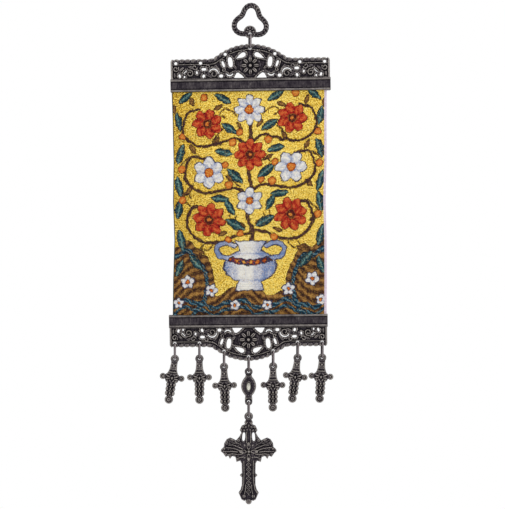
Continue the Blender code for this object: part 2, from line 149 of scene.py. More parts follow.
def ridge(distance, halfWidth, height):
    # a half-round bead along the line where distance is nothing: the root of one minus its square
    return height * np.sqrt(np.clip(1 - (distance / halfWidth) ** 2, 0, 1))


def strokeDistance(X, Z, points):
    # distance to an open line through the points
    nearest = np.full(X.shape, 1e9)
    for (ax, az), (bx, bz) in zip(points[:-1], points[1:]):
        ex, ez = bx - ax, bz - az
        along = np.clip(((X - ax) * ex + (Z - az) * ez) / (ex * ex + ez * ez + 1e-12), 0, 1)
        nearest = np.minimum(nearest, (X - ax - along * ex) ** 2 + (Z - az - along * ez) ** 2)
    return np.sqrt(nearest)


def scrollPoints(x, z, radius, start, turns, shrink=0.35, steps=20):
    # a spiral: the radius falls to shrink of itself while the angle runs on by so many turns
    t = np.linspace(0, 1, steps)
    reach = radius * (1 - (1 - shrink) * t)
    angle = math.radians(start) + 2 * math.pi * turns * t
    return np.stack([x + reach * np.cos(angle), z + reach * np.sin(angle)], 1)


def addValues(obj, name, values):
    # a value at each point, which a material reads by its name
    layer = obj.data.attributes.new(name, "FLOAT", "POINT")
    layer.data.foreach_set("value", np.asarray(values, np.float32).ravel())


def addMesh(name, vertices, faces, wear=None):
    # a smooth mesh of vertices in metres and quads, creased where faces meet at more than 50 degrees
    mesh = bpy.data.meshes.new(name)
    faces = np.asarray(faces, np.int32)
    mesh.vertices.add(len(vertices))
    mesh.vertices.foreach_set("co", np.asarray(vertices, np.float32).ravel())
    mesh.loops.add(faces.size)
    mesh.loops.foreach_set("vertex_index", faces.ravel())
    mesh.polygons.add(len(faces))
    mesh.polygons.foreach_set("loop_start", np.arange(0, faces.size, faces.shape[1], dtype=np.int32))
    mesh.update(calc_edges=True)
    mesh.validate()
    obj = bpy.data.objects.new(name, mesh)
    if wear is not None:
        addValues(obj, "wear", wear)
    mesh.shade_smooth()
    mesh.set_sharp_from_angle(angle=creaseAngle)
    bpy.context.scene.collection.objects.link(obj)
    return obj


def dress(obj, material, node, body):
    # what each piece takes: its material and its body, and the CAD part it stands for is hidden
    obj.data.materials.append(material)
    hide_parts(node)
    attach(obj, body)


def castGrid(box, step, field):
    # a grid of x and z: a point near the outline moves onto it, by the field over its slope
    x = np.arange(box[0], box[1] + step, step)
    z = np.arange(box[2], box[3] + step, step)
    X, Z = np.meshgrid(x, z, indexing="ij")
    F = field(X, Z)
    gx, gz = np.gradient(F, step)
    size = gx * gx + gz * gz + 1e-6
    near = np.abs(F) < 0.62 * step * np.sqrt(size)
    X = np.where(near, X - F * gx / size, X)
    Z = np.where(near, Z - F * gz / size, Z)
    inside = (F > 0) | near
    keep = inside[:-1, :-1] & inside[1:, :-1] & inside[1:, 1:] & inside[:-1, 1:]
    return X, Z, np.where(near, 0.0, F), keep


def castFaces(keep):
    # front and back quads for each kept cell, and a wall quad for each cell side with no neighbour
    nx, nz = keep.shape
    number = np.arange((nx + 1) * (nz + 1)).reshape(nx + 1, nz + 1)
    a, b = number[:-1, :-1], number[1:, :-1]
    c, d = number[1:, 1:], number[:-1, 1:]
    front = np.stack([a, b, c, d], -1)[keep]
    padded = np.pad(keep, 1)
    sides = (
        (a, b, padded[1:-1, :-2]),
        (b, c, padded[2:, 1:-1]),
        (c, d, padded[1:-1, 2:]),
        (d, a, padded[:-2, 1:-1]),
    )
    shift = (nx + 1) * (nz + 1)
    walls = []
    for p, q, neighbour in sides:
        open_ = keep & ~neighbour
        walls.append(np.stack([q[open_], p[open_], p[open_] + shift, q[open_] + shift], -1))
    return np.concatenate([front, front[:, ::-1] + shift] + walls)


def uneven(X, Z):
    # the soft lumps of a sand casting, about two millimetres apart: two products of bent sines
    broad = np.sin(2.3 * X + 1.1 * Z + 0.7 * np.sin(1.7 * Z)) * np.sin(1.9 * Z - 1.3 * X + 0.8 * np.sin(1.3 * X))
    return broad + 0.5 * np.sin(4.1 * X - 2.2 * Z) * np.sin(3.7 * Z + 2.9 * X)


def pebbled(X, Z):
    # punched ground: small bumps about a millimetre apart, from the product of two slanting waves
    return np.clip(np.sin(5.4 * X + 1.7 * Z) * np.sin(5.1 * Z - 1.9 * X), -0.2, 1)


def castMesh(box, step, field, frontHeight, backHeight, polishAndGlints=None):
    # both faces of a flat casting and the wall between them; the wear value is high on what stands proud, and the
    # polish adds to it, the large cross's painted glints among them
    X, Z, F, keep = castGrid(box, step, field)
    lumps = 0.07 * uneven(X, Z) * np.clip(F / 0.6, 0, 1)
    front, back = frontHeight(X, Z, F) + lumps, backHeight(X, Z, F) + 0.5 * lumps
    polishAndPaintedLight = 0.0 if polishAndGlints is None else polishAndGlints(X, Z)
    faces = castFaces(keep)
    vertices = np.concatenate([
        np.stack([X.ravel(), -front.ravel(), Z.ravel()], 1),
        np.stack([X.ravel(), back.ravel(), Z.ravel()], 1),
    ])
    wear = np.clip(np.stack([wearOf(front, step) + polishAndPaintedLight, wearOf(back, step) + polishAndPaintedLight]), 0, 1).ravel()
    used = np.zeros(len(vertices), bool)
    used[faces.ravel()] = True
    index = np.cumsum(used) - 1
    return vertices[used], index[faces], wear[used]


def blurred(H, times):
    # each pass takes a third of the point itself and a sixth of each of its four neighbours
    for _ in range(times):
        P = np.pad(H, 1, mode="edge")
        H = (P[:-2, 1:-1] + P[2:, 1:-1] + P[1:-1, :-2] + P[1:-1, 2:] + 2 * P[1:-1, 1:-1]) / 6
    return H


def wearOf(height, step):
    # how far a point stands above the ground about a millimetre round it, from 0 to 1
    proud = height - blurred(height, round(1.3 / step**2))
    return np.clip(0.40 + proud * 1.7, 0, 1)


def place(vertices, degrees, origin):
    # turns millimetre points about Y, then moves them to origin in metres
    c, s = math.cos(math.radians(degrees)), math.sin(math.radians(degrees))
    x, y, z = vertices.T
    return np.stack([x * c + z * s, y, -x * s + z * c], 1) * mm + np.asarray(origin)


# materials

class materialTools:
    # newMaterial's short ways, held together
    def __init__(self, **tools):
        for name, tool in tools.items():
            setattr(self, name, tool)


def newMaterial(name):
    # a new material, and short ways to add its nodes
    material = bpy.data.materials.new(name)
    material.use_nodes = True
    tree = material.node_tree
    shader = tree.nodes["Principled BSDF"]

    def put(value, socket):
        if isinstance(value, bpy.types.NodeSocket):
            tree.links.new(value, socket)
        else:
            socket.default_value = value

    def add(kind, inputs=None, **settings):
        node = tree.nodes.new(kind)
        for key, value in settings.items():
            setattr(node, key, value)
        for key, value in (inputs or {}).items():
            put(value, node.inputs[key])
        return node

    def number(operation, *values, clamp=False):
        return add("ShaderNodeMath", dict(enumerate(values)), operation=operation, use_clamp=clamp).outputs[0]

    def vector(operation, *values):
        return add("ShaderNodeVectorMath", dict(enumerate(values)), operation=operation).outputs[0]

    def noise(place, scale, detail, **more):
        inputs = {"Vector": place, "Scale": scale, "Detail": detail, **more}
        return add("ShaderNodeTexNoise", inputs).outputs["Fac"]

    def painted(layer):
        # a value that the mesh carries at its points
        return add("ShaderNodeAttribute", attribute_name=layer).outputs["Fac"]

    def ramp(strength, *stops):
        # a colour for each strength, with the first and last stops in the ramp's own two
        node = add("ShaderNodeValToRGB", {"Fac": strength})
        elements = node.color_ramp.elements
        elements[0].position, elements[0].color = stops[0]
        elements[1].position, elements[1].color = stops[-1]
        for position, colour in stops[1:-1]:
            elements.new(position).color = colour
        return node.outputs["Color"]

    def mixed(factor, first, second):
        node = add("ShaderNodeMix", data_type="RGBA")
        for index, value in ((0, factor), (6, first), (7, second)):
            put(value, node.inputs[index])
        return node.outputs[2]

    def surface(colour, roughness, metallic, specular, bump=None):
        # the shader's own inputs; a bump is its height, strength and distance
        rows = {"Base Color": colour, "Roughness": roughness, "Metallic": metallic}
        rows["Specular IOR Level"] = specular
        if bump is not None:
            node = add("ShaderNodeBump", dict(zip(("Height", "Strength", "Distance"), bump)))
            rows["Normal"] = node.outputs["Normal"]
        for key, value in rows.items():
            put(value, shader.inputs[key])
        return material

    return materialTools(add=add, number=number, vector=vector, noise=noise, painted=painted, ramp=ramp,
                         mixed=mixed, surface=surface)


metalSettings = {
    "recess": (0.006, 0.005, 0.007, 1),
    "ground": (0.025, 0.020, 0.027, 1),
    "body": (0.071, 0.061, 0.066, 1),
    "worn": (0.262, 0.238, 0.218, 1),
    "roughness": (0.55, 0.30),
    "stone": ((0.40, 0.41, 0.33, 1), (0.82, 0.80, 0.70, 1)),
    "grainScale": 2600.0,
    "patchScale": 230.0,
    "hatchScale": (1150.0, 200.0, 260.0),
    "veinScale": 700.0,
}


def antiqueMetal():
    # dark patina in the hollows, bare worn metal on what stands proud, broken up by two noises
    s = metalSettings
    n = newMaterial("antiqueMetal")
    place3d = n.add("ShaderNodeTexCoord").outputs["Object"]
    grain = n.noise(place3d, s["grainScale"], 3.0)
    patches = n.number("MULTIPLY_ADD", n.noise(place3d, s["patchScale"], 6.0, Roughness=0.74), 0.9, -0.45)
    speck = n.number("MULTIPLY_ADD", grain, 0.28, -0.14)
    # the mesh's wear value also carries the painted glints of the large cross
    grainy = n.number("ADD", n.number("ADD", n.painted("wear"), patches), speck)
    # the rail's flat band is hatched by a noise squeezed along it
    hatched = n.add("ShaderNodeMapping", {"Vector": place3d, "Scale": s["hatchScale"]}).outputs[0]
    hatch = n.number("MULTIPLY_ADD", n.noise(hatched, 1.0, 2.0), 0.55, -0.27)
    total = n.number("ADD", grainy, n.number("MULTIPLY", hatch, n.painted("band")), clamp=True)
    patina = n.ramp(total, (0.14, s["recess"]), (0.38, s["ground"]), (0.60, s["body"]), (0.95, s["worn"]))
    # the connector's stone is pale, smoother and no metal, and paler at its lower end, a painted highlight
    pale = n.painted("pale")
    veins = n.noise(place3d, s["veinScale"], 4.0, Distortion=1.5)
    stone = n.ramp(veins, (0.35, s["stone"][0]), (0.62, s["stone"][1]))
    dull, bright = s["roughness"]
    rough = n.add("ShaderNodeMapRange", {"Value": total, "To Min": dull, "To Max": bright}).outputs[0]
    smooth = n.number("MULTIPLY_ADD", pale, -0.25, rough)
    bare = n.number("MULTIPLY_ADD", pale, -0.9, 0.9)
    return n.surface(n.mixed(pale, patina, stone), smooth, bare, 0.3, (grain, 0.35, 0.00012))


wireSettings = {
    # the first colour is the painted shade inside the loop, the second the painted light outside it
    "tarnishAndShade": (0.017, 0.012, 0.016, 1),
    "polishAndPaintedLight": (0.22, 0.19, 0.195, 1),
    "roughness": (0.22, 0.42),
    "streakScale": (5200.0, 5200.0, 420.0),
    "tarnishScale": 240.0,
}


def nickelWire():
    # bright on the loop's outer side and dark on its inner side, a painted light and a painted shade over a random
    # tarnish, with fine drawn streaks
    s = wireSettings
    n = newMaterial("nickelWire")
    place3d = n.add("ShaderNodeTexCoord").outputs["Object"]
    drawn = n.add("ShaderNodeMapping", {"Vector": place3d, "Scale": s["streakScale"]}).outputs[0]
    streaks = n.noise(drawn, 1.0, 4.0)
    # the painted light outside the wire's loop and the painted shade inside it
    polishAndPaintedLight = n.painted("wear")
    paintedLightSide = n.number("MULTIPLY_ADD", polishAndPaintedLight, 0.6, -0.3)
    shade = n.number("ADD", n.noise(place3d, s["tarnishScale"], 4.0), paintedLightSide, clamp=True)
    colour = n.ramp(shade, (0.26, s["tarnishAndShade"]), (0.80, s["polishAndPaintedLight"]))
    smooth, dull = s["roughness"]
    rough = n.add("ShaderNodeMapRange", {"Value": streaks, "To Min": smooth, "To Max": dull}).outputs[0]
    bare = n.number("MULTIPLY_ADD", polishAndPaintedLight, 0.75, 0.2)
    return n.surface(colour, rough, bare, 0.2, (streaks, 0.25, 0.00005))


metal = antiqueMetal()
wire = nickelWire()


# the two bars: an openwork crest and a moulded rail, in millimetres from the edge that grips the cloth

bar = {
    "width": 128.0,
    "crestWidth": 127.4,
    "crestFoot": 9.3,
    "railHeight": 10.2,
    "railFront": 2.8,
    "railBack": 3.2,
    "slot": (-0.85, 1.25, 8.0),
    "flatTop": 26.2,
    "archTop": 37.7,
    "archRadius": 44.0,
    "archBlend": 1.2,
    "corner": 2.4,
    "scallopPitch": 4.5,
    "scallopDepth": 0.75,
    "eyePitch": 19.87,
    "eyeRadius": 1.2,
    "eyeInset": 3.3,
    "rosette": (20.3, 8.2),
    "stud": (15.3, 3.1, 0.85, 1.35),
    "step": 0.30,
    "ground": 0.35,
    "back": 1.0,
}

# openings of the right half: kind, distance from the middle, height, width, length, lean
crestGaps = (
    ("tear", 8.0, 27.9, 4.4, 10.4, 118.0),
    ("oval", 15.9, 23.4, 4.4, 8.8, 8.0),
    ("oval", 21.6, 21.9, 2.6, 5.8, 20.0),
    ("bow", 16.6, 15.0, 6.4, 1.7, 180.0),
    ("wedge", 8.6, 12.9, 9.4, 5.0, 0.0),
    ("oval", 23.4, 12.5, 3.8, 3.2, 0.0),
    ("bow", 29.4, 14.6, 8.6, 1.6, -12.0),
    ("oval", 37.2, 18.0, 4.4, 2.9, 0.0),
    ("oval", 37.4, 12.6, 2.6, 3.4, -20.0),
    ("oval", 42.8, 15.4, 2.1, 3.0, 15.0),
    ("oval", 52.3, 16.0, 1.2, 5.0, -45.0),
    ("oval", 52.8, 12.1, 2.0, 2.4, 0.0),
    ("oval", 56.6, 12.9, 2.4, 3.6, 20.0),
)

# raised scrolls of the right half: middle, height, radius, start angle, turns
crestScrolls = (
    (29.4, 14.0, 3.2, 20.0, 1.1),
    (44.5, 19.6, 2.2, 200.0, 0.9),
    (48.4, 14.6, 2.9, 60.0, 1.2),
    (59.6, 18.4, 2.4, 150.0, 1.1),
    (33.6, 19.8, 1.8, -40.0, 0.8),
    (21.4, 17.0, 1.6, 90.0, 0.9),
)

# raised leaves of the right half: middle, height, half width, half length, lean
crestLeaves = (
    (33.2, 13.0, 1.5, 3.4, 60.0),
    (26.4, 18.4, 1.4, 3.6, 35.0),
    (47.4, 19.4, 1.2, 3.0, 70.0),
    (55.6, 17.6, 1.1, 3.2, -50.0),
    (40.2, 15.6, 1.1, 2.6, 20.0),
    (12.6, 19.6, 1.2, 3.2, 40.0),
    (12.4, 15.8, 1.0, 2.4, -50.0),
    (60.6, 13.2, 0.9, 2.2, 0.0),
)


def gapPoints(kind, width, length):
    # an oval, a tear drawn to a point, a wedge with soft corners, or a crescent arched upwards
    t = np.linspace(0, 2 * math.pi, 28, endpoint=False)
    if kind == "oval":
        return ovalPoints(0, 0, width / 2, length / 2, power=0.8)
    if kind == "tear":
        return np.stack([np.sin(t) * (1 - np.cos(t)) * width / 2.6, np.cos(t) * length / 2], 1)
    if kind == "wedge":
        corners = ((-0.5, -0.5), (0.5, -0.5), (0.5, -0.32), (0.30, 0.38), (0.12, 0.5), (-0.14, 0.18))
        return np.array(corners) * (width, length)
    half = width / 2
    up = np.linspace(0, math.pi, 16)
    down = np.linspace(math.pi, 0, 16)[1:-1]
    outer = np.stack([half * np.cos(up), half * np.sin(up)], 1)
    inner = np.stack([(half - 0.7 * length) * np.cos(down), (half - length) * np.sin(down)], 1)
    return np.concatenate([outer, inner])


def rimHeight(x):
    # a round arch that runs softly into the flats, as the log of a sum of powers
    reach = np.minimum(np.abs(x), 0.9 * bar["archRadius"])
    arch = bar["archTop"] - bar["archRadius"] + np.sqrt(bar["archRadius"] ** 2 - reach**2)
    return bar["flatTop"] + bar["archBlend"] * np.log1p(np.exp((arch - bar["flatTop"]) / bar["archBlend"]))


def rimTable():
    # the rim as x, z and the length run so far
    half = bar["crestWidth"] / 2 - bar["corner"]
    xs = np.linspace(-half, half, 1601)
    zs = rimHeight(xs)
    return xs, zs, np.concatenate([[0.0], np.cumsum(np.hypot(np.diff(xs), np.diff(zs)))])


def eyePlaces():
    # seven eyes at an even pitch, each a little below the rim
    xs = bar["eyePitch"] * np.arange(-3, 4)
    return np.stack([xs, rimHeight(xs) - bar["eyeInset"]], 1)


def crestOutline():
    # the rim with its scallops, each a half turn of a sine, and the rounded corners
    xs, zs, lengths = rimTable()
    count = round(lengths[-1] / bar["scallopPitch"])
    i = np.arange(count * 8 + 1)
    along = lengths[-1] * i / i[-1]
    x, z = np.interp(along, lengths, xs), np.interp(along, lengths, zs)
    slope = (rimHeight(x + 0.05) - rimHeight(x - 0.05)) / 0.1
    drawnIn = bar["scallopDepth"] * (1 - np.abs(np.sin(math.pi * i / 8)))
    norm = np.hypot(slope, 1)
    rim = np.stack([x + drawnIn * slope / norm, z - drawnIn / norm], 1)[::-1]
    half, corner = bar["crestWidth"] / 2, bar["corner"]
    turns = np.radians(np.linspace(0, 75, 6))
    right = np.stack([half - corner + corner * np.cos(turns),
                      bar["flatTop"] - corner + corner * np.sin(turns)], 1)
    left = (right * (-1, 1))[::-1]
    foot = np.array([(-half, bar["crestFoot"]), (half, bar["crestFoot"])])
    return np.concatenate([foot, right, rim, left])


def gapField(X, Z):
    # distance to the nearest opening, positive in the metal; the left half mirrors the right
    field = np.full(X.shape, 1e3)
    for kind, x, z, width, length, lean in crestGaps:
        near = (np.abs(np.abs(X) - x) < 12) & (np.abs(Z - z) < 12)
        points = turned(gapPoints(kind, width, length), x, z, lean)
        field[near] = np.minimum(field[near], -insideOutline(points, np.abs(X)[near], Z[near]))
    return field


def eyeField(X, Z):
    # distance outside the nearest eye
    field = np.full(X.shape, 1e3)
    for x, z in eyePlaces():
        field = np.minimum(field, np.hypot(X - x, Z - z) - bar["eyeRadius"])
    return field


def crestField(X, Z):
    # the strands lean up to half a millimetre over each opening
    lean = 0.37 + 0.05 * uneven(X, Z)
    return np.minimum(np.minimum(insideOutline(crestOutline(), X, Z), gapField(X, Z) + lean), eyeField(X, Z))


def rosetteHeight(X, Z):
    # eight petals round a bead: each petal is half an egg with a groove down it
    z0, radius = bar["rosette"]
    reach = np.hypot(X, Z - z0)
    angle = np.arctan2(X, Z - z0)
    cell = (angle / (math.pi / 4) + 0.5) % 1.0 - 0.5
    side = reach * np.sin(cell * math.pi / 4)
    petal = np.sqrt(np.clip(1 - ((reach - 0.62 * radius) / (0.30 * radius)) ** 2 - (side / 1.5) ** 2, 0, 1))
    petal = petal * (1 - 0.5 * bell(side, 0.32))
    collar = ridge(reach - 0.96 * radius, 0.55, 0.55) * (0.45 + 0.55 * np.abs(np.cos(8 * angle)))
    bead = 1.5 * np.sqrt(np.clip(1 - (reach / 1.5) ** 2, 0, 1))
    ground = np.where(reach < radius, 0.35, 0.0)
    return np.maximum.reduce([1.35 * petal + 0.35 * (petal > 0), collar, bead + 0.4 * (bead > 0), ground])


def crestFront(X, Z, F):
    # rounded strands on a punched ground, and on them the scrolls, leaves, rosette, rim, posts and studs
    s = bar
    gaps = gapField(X, Z)
    punched = 0.16 * pebbled(X, Z) * (np.hypot(X, Z - s["rosette"][0]) > s["rosette"][1])
    strand = ridge(np.clip(gaps, -1, 9) - 0.55, 0.85, 0.95) * np.clip(0.74 + 0.30 * uneven(X, Z), 0.4, 1)
    height = s["ground"] + punched + strand
    mirrored = np.abs(X)
    for x, z, radius, start, turns in crestScrolls:
        scroll = strokeDistance(mirrored, Z, scrollPoints(x, z, radius, start, turns))
        height = np.maximum(height, s["ground"] + ridge(scroll, 0.55, 0.9))
    for x, z, halfWidth, halfLength, lean in crestLeaves:
        leaf = leafDome(mirrored, Z, x, z, halfWidth, halfLength, 1.0, lean, 0.22, 0.4)
        height = np.maximum(height, s["ground"] + leaf)
    height = np.maximum(height, rosetteHeight(X, Z) + 0.25)
    # the rim: a band of slanting lobes outside a fine raised line
    xs, zs, lengths = rimTable()
    along = np.interp(X, xs, lengths)
    slope = np.abs(rimHeight(X + 0.05) - rimHeight(X - 0.05)) / 0.1
    inward = (rimHeight(X) - Z) / np.hypot(slope, 1)
    pitch = lengths[-1] / round(lengths[-1] / s["scallopPitch"])
    lobe = (along / pitch + 0.06 * (inward - 1.5)) % 1.0 - 0.5
    rope = 1.08 * np.sqrt(np.clip(1 - ((inward - 1.55) / 1.75) ** 2 - (1.75 * lobe) ** 2, 0, 1))
    bead = 0.55 * np.sqrt(np.clip(1 - ((inward - 2.9) / 0.7) ** 2 - (3.4 * (np.abs(lobe) - 0.5)) ** 2, 0, 1))
    onBand = inward < 4.7
    height = np.where(onBand, s["ground"] * 0.8, height)
    height = np.maximum(height, np.where(onBand, s["ground"] * 0.8 + np.maximum(rope, bead), 0))
    height = np.maximum(height, s["ground"] + ridge(inward - 4.5, 0.42, 0.75))
    # end posts, the lip over the rail, studs and the rolled edges of the eyes
    post = s["crestWidth"] / 2 - np.abs(X)
    height = np.maximum(height, s["ground"] + ridge(post - 0.9, 0.95, 0.95) * (inward > 0.6))
    height = np.maximum(height, s["ground"] + ridge(Z - s["railHeight"] - 0.1, 0.5, 0.5))
    side, inset, radius, size = s["stud"]
    stud = dome(mirrored, Z, side, rimHeight(side) - inset, radius, radius, size)
    height = np.maximum(height, s["ground"] + stud)
    eyes = eyeField(X, Z)
    height = np.where(eyes < 0.9, np.minimum(height, 0.65) + ridge(eyes - 0.45, 0.45, 0.35), height)
    return height * edgeRound(F, 0.5, 0.25)


def crestBack(X, Z, F):
    # a plain cast back, rounded over a little at its edges
    return bar["back"] * edgeRound(F, 0.4, 0.7)


def railProfile():
    # the rail's section from its lower front lip round to the slot: two half-round lips, and a groove by each
    s = bar
    front, back, top = -s["railFront"], s["railBack"], s["railHeight"]
    slotFront, slotBack, slotTop = s["slot"]
    turns = np.linspace(0, math.pi, 7)
    lowerLip = [(front + 0.6 - 0.6 * math.sin(t), 0.8 - 0.8 * math.cos(t)) for t in turns]
    upperLip = [(front + 0.6 - 0.6 * math.sin(t), top - 1.25 - 0.8 * math.cos(t)) for t in turns]
    points = lowerLip + [
        (front + 0.9, 2.0), (front + 0.62, 2.5), (front + 0.62, top - 2.9), (front + 0.9, top - 2.3),
    ] + upperLip + [
        (front + 1.0, top), (back - 0.4, top), (back, top - 0.4), (back, 0.3), (back - 0.3, 0.0),
    ]
    points += [(slotBack, 0.0), (slotBack, slotTop), (slotFront, slotTop), (slotFront, 0.0)]
    return np.array(points)


def railMesh():
    # the section carried along X; the slot's roof joins front and back, so each end is two strips
    profile = railProfile()
    count = len(profile)
    xs = np.linspace(-bar["width"] / 2, bar["width"] / 2, 129)
    vertices = np.concatenate([np.stack([np.full(count, x), profile[:, 0], profile[:, 1]], 1) for x in xs])
    i, k = np.meshgrid(np.arange(len(xs) - 1), np.arange(count), indexing="ij")
    j = (k + 1) % count
    faces = np.stack([i * count + k, i * count + j, (i + 1) * count + j, (i + 1) * count + k], -1).reshape(-1, 4)
    return vertices, faces, profile


def endCaps(profile, first, last):
    # triangles over the section at both ends
    loop = [mathutils.Vector((y, z, 0)) for y, z in profile]
    triangles = np.array(mathutils.geometry.tessellate_polygon([loop]))
    return np.concatenate([first + triangles, last + triangles[:, ::-1]])


def buildBar(name, node, degrees):
    # the crest and the rail as one mesh, turned by so many degrees and set at the middle of the node's box
    s = bar
    box = (-s["crestWidth"] / 2 - 0.3, s["crestWidth"] / 2 + 0.3, s["crestFoot"] - 0.3, s["archTop"] + 0.3)
    crest, crestQuads, crestWear = castMesh(box, s["step"], crestField, crestFront, crestBack)
    rail, railQuads, profile = railMesh()
    band = (profile[:, 1] > 1.7) & (profile[:, 1] < s["railHeight"] - 2.1) & (profile[:, 0] < -1.5)
    lip = (profile[:, 0] < -s["railFront"] + 0.35) & ~band
    groove = np.isclose(profile[:, 0], -s["railFront"] + 0.9)
    sectionWear = np.select([groove, band, lip], [0.12, 0.47, 0.78], 0.48)
    railWear = np.tile(sectionWear, len(rail) // len(profile))
    caps = endCaps(profile, 0, len(rail) - len(profile))
    vertices = np.concatenate([crest, rail])
    placed = place(vertices, degrees, (0, 0, 0))
    low, high = (np.array(corner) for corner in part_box(node))
    middle = (placed.min(0) + placed.max(0)) / 2
    shift = (low + high) / 2 - middle
    shift[1] = 0.0
    quads = np.concatenate([crestQuads, railQuads + len(crest)])
    obj = addMesh(name, placed + shift, quads, np.concatenate([crestWear, railWear]))
    onRail = np.tile(band, len(rail) // len(profile))
    addValues(obj, "band", np.concatenate([np.zeros(len(crest)), onRail]))
    addTriangles(obj, caps + len(crest))
    dress(obj, metal, node, "root")
    print(name, "done,", len(quads) * 2, "triangles")


def addTriangles(obj, triangles):
    # closes a mesh with triangles between its own points, then turns every face outwards
    bm = bmesh.new()
    bm.from_mesh(obj.data)
    bm.verts.ensure_lookup_table()
    for corners in triangles:
        face = bm.faces.new([bm.verts[int(i)] for i in corners])
        face.smooth = True
    bmesh.ops.recalc_face_normals(bm, faces=bm.faces)
    bm.to_mesh(obj.data)
    bm.free()
    obj.data.set_sharp_from_angle(angle=creaseAngle)


buildBar("topBar", "top_bar", -0.9)
buildBar("bottomBar", "bottom_bar", 179.5)


# the hanging ring

ring = {
    "radius": 11.15,
    "lobe": 2.3,
    "raised": 0.12,
    "lean": 3.4,
    "strand": 4.2,
    "depth": 1.25,
    "dots": 29,
    "boss": (18.9, 5.0),
    "eye": (20.6, 1.2),
    "beads": 34,
    "step": 0.2,
}


def ringPolar(X, Z):
    # the strand leans clockwise about the boss, which stays upright over its link
    s = ring
    centre = -(s["radius"] + s["lobe"] - s["strand"] / 2)
    c, n = math.cos(math.radians(s["lean"])), math.sin(math.radians(s["lean"]))
    low = Z + s["boss"][0]
    X, Z = X * c - low * n, X * n + low * c - s["boss"][0]
    angle = np.arctan2(Z - centre, X)
    reach = np.hypot(X, Z - centre)
    # the lobes lie at three times the angle from the top, drawn up at the sides by its sine
    fromTop = np.abs((angle - math.pi / 2 + math.pi) % (2 * math.pi) - math.pi)
    bent = fromTop + s["raised"] * np.sin(fromTop)
    middle = s["radius"] + s["lobe"] * np.cos(3 * bent)
    slope = 3 * s["lobe"] * np.sin(3 * bent) * (1 + s["raised"] * np.cos(fromTop)) / np.maximum(middle, 1)
    return angle, (reach - middle) / np.hypot(slope, 1)


def ringField(X, Z):
    # the scalloped strand joined to the round boss, less the eye
    s = ring
    angle, off = ringPolar(X, Z)
    scallop = 0.14 * np.abs(np.sin(angle * s["beads"] / 2)) - 0.1
    strand = s["strand"] / 2 + scallop - np.abs(off)
    boss = disc(X, Z, 0, -s["boss"][0], s["boss"][1])
    return np.minimum(np.maximum(strand, boss), -disc(X, Z, 0, -s["eye"][0], s["eye"][1]))


def ringHeight(X, Z, F):
    # a softly twisted strand with a row of punched dots along it, and a petalled boss
    s = ring
    angle, off = ringPolar(X, Z)
    half = s["strand"] / 2
    swell = np.sqrt(np.clip(1 - (off / half) ** 2, 0, 1))
    twist = np.abs(np.sin(angle * s["beads"] / 2 + np.abs(off) * 1.1))
    dots = bell(off - 0.4, 0.62) * (0.5 + 0.5 * np.cos(angle * s["dots"])) ** 1.5
    strand = s["depth"] * swell * (0.74 + 0.26 * twist) - 0.8 * dots
    bossReach = np.hypot(X, Z + s["boss"][0])
    petals = 0.5 + 0.5 * np.cos(8 * np.arctan2(X, Z + s["boss"][0]))
    boss = np.where(bossReach < s["boss"][1], 0.75 + 0.55 * petals * bell(bossReach - 2.7, 1.1), 0)
    boss = np.maximum(boss, ridge(bossReach - 4.3, 0.5, 1.1))
    boss = np.maximum(boss, dome(X, Z, 0, -s["boss"][0] + 0.6, 1.1, 1.1, 1.4))
    eye = -disc(X, Z, 0, -s["eye"][0], s["eye"][1])
    height = np.maximum(strand, boss)
    height = np.where((eye < 1.6) & (Z < -s["eye"][0] + 1.0), np.minimum(height, 0.9), height)
    return np.clip(height, 0.3, 1.9) * edgeFall(F, 0.5, 0.35)


def ringPolish(X, Z):
    # the strand is darker than the boss
    return np.where(np.hypot(X, Z + ring["boss"][0]) < ring["boss"][1], 0.0, -0.09)


ringBox = (-15.5, 15.5, -25, 5.2)
vertices, faces, wear = castMesh(ringBox, ring["step"], ringField, ringHeight, ringHeight, ringPolish)
dress(addMesh("hangerRing", place(vertices, 0, (0, 0, 0)), faces, wear), metal, "hanger_ring", "root")
print("hanging ring done")


# the small crosses: one casting, hung six times

smallCross = {
    "bail": (3.35, 1.05),
    "outline": (
        (2.6, 1.6), (2.65, 5.0), (3.0, 8.4), (3.6, 10.6), (4.4, 12.2), (5.2, 12.8), (5.9, 13.6),
        (6.9, 13.4), (6.9, 17.0), (5.8, 16.9), (5.3, 17.7), (4.9, 18.7), (4.2, 19.4),
    ),
    "armKnob": (7.6, 15.2, 2.45),
    "footKnob": (33.4, 3.4),
    "shaft": (19.4, 30.0, 3.3, 4.0, 3),
    "swings": {"cross_1": 8.6, "cross_2": 0.0, "cross_3": -1.6, "cross_5": 0.4, "cross_6": 7.2, "cross_7": 3.4},
    "step": 0.2,
}


def mirroredOutline(rows):
    # rows of side and drop down the right edge, then back up the left
    right = np.array([(x, -drop) for x, drop in rows])
    return np.concatenate([right, (right * (-1, 1))[::-1]])


def crossOutline():
    # the written shoulders, then a shaft whose side swells and falls as a sine, then the foot
    s = smallCross
    top, foot, narrow, wide, bumps = s["shaft"]
    rows = list(s["outline"])
    for i in range(bumps * 8 + 1):
        side = narrow + (wide - narrow) * abs(math.sin(math.pi * i / 8))
        rows.append((side, top + (foot - top) * i / (bumps * 8)))
    rows += [(2.3, s["footKnob"][0] - s["footKnob"][1] + 0.4), (1.6, s["footKnob"][0])]
    return mirroredOutline(rows)


def crossField(X, Z):
    # the outline joined to its round knobs and bail, less the bail's hole
    s = smallCross
    x, drop, radius = s["armKnob"]
    shape = np.maximum(insideOutline(crossOutline(), X, Z), disc(np.abs(X), Z, x, -drop, radius))
    shape = np.maximum(shape, disc(X, Z, 0, -s["footKnob"][0], s["footKnob"][1]))
    shape = np.maximum(shape, disc(X, Z, 0, 0, s["bail"][0]))
    return np.minimum(shape, -disc(X, Z, 0, 0, s["bail"][1]))


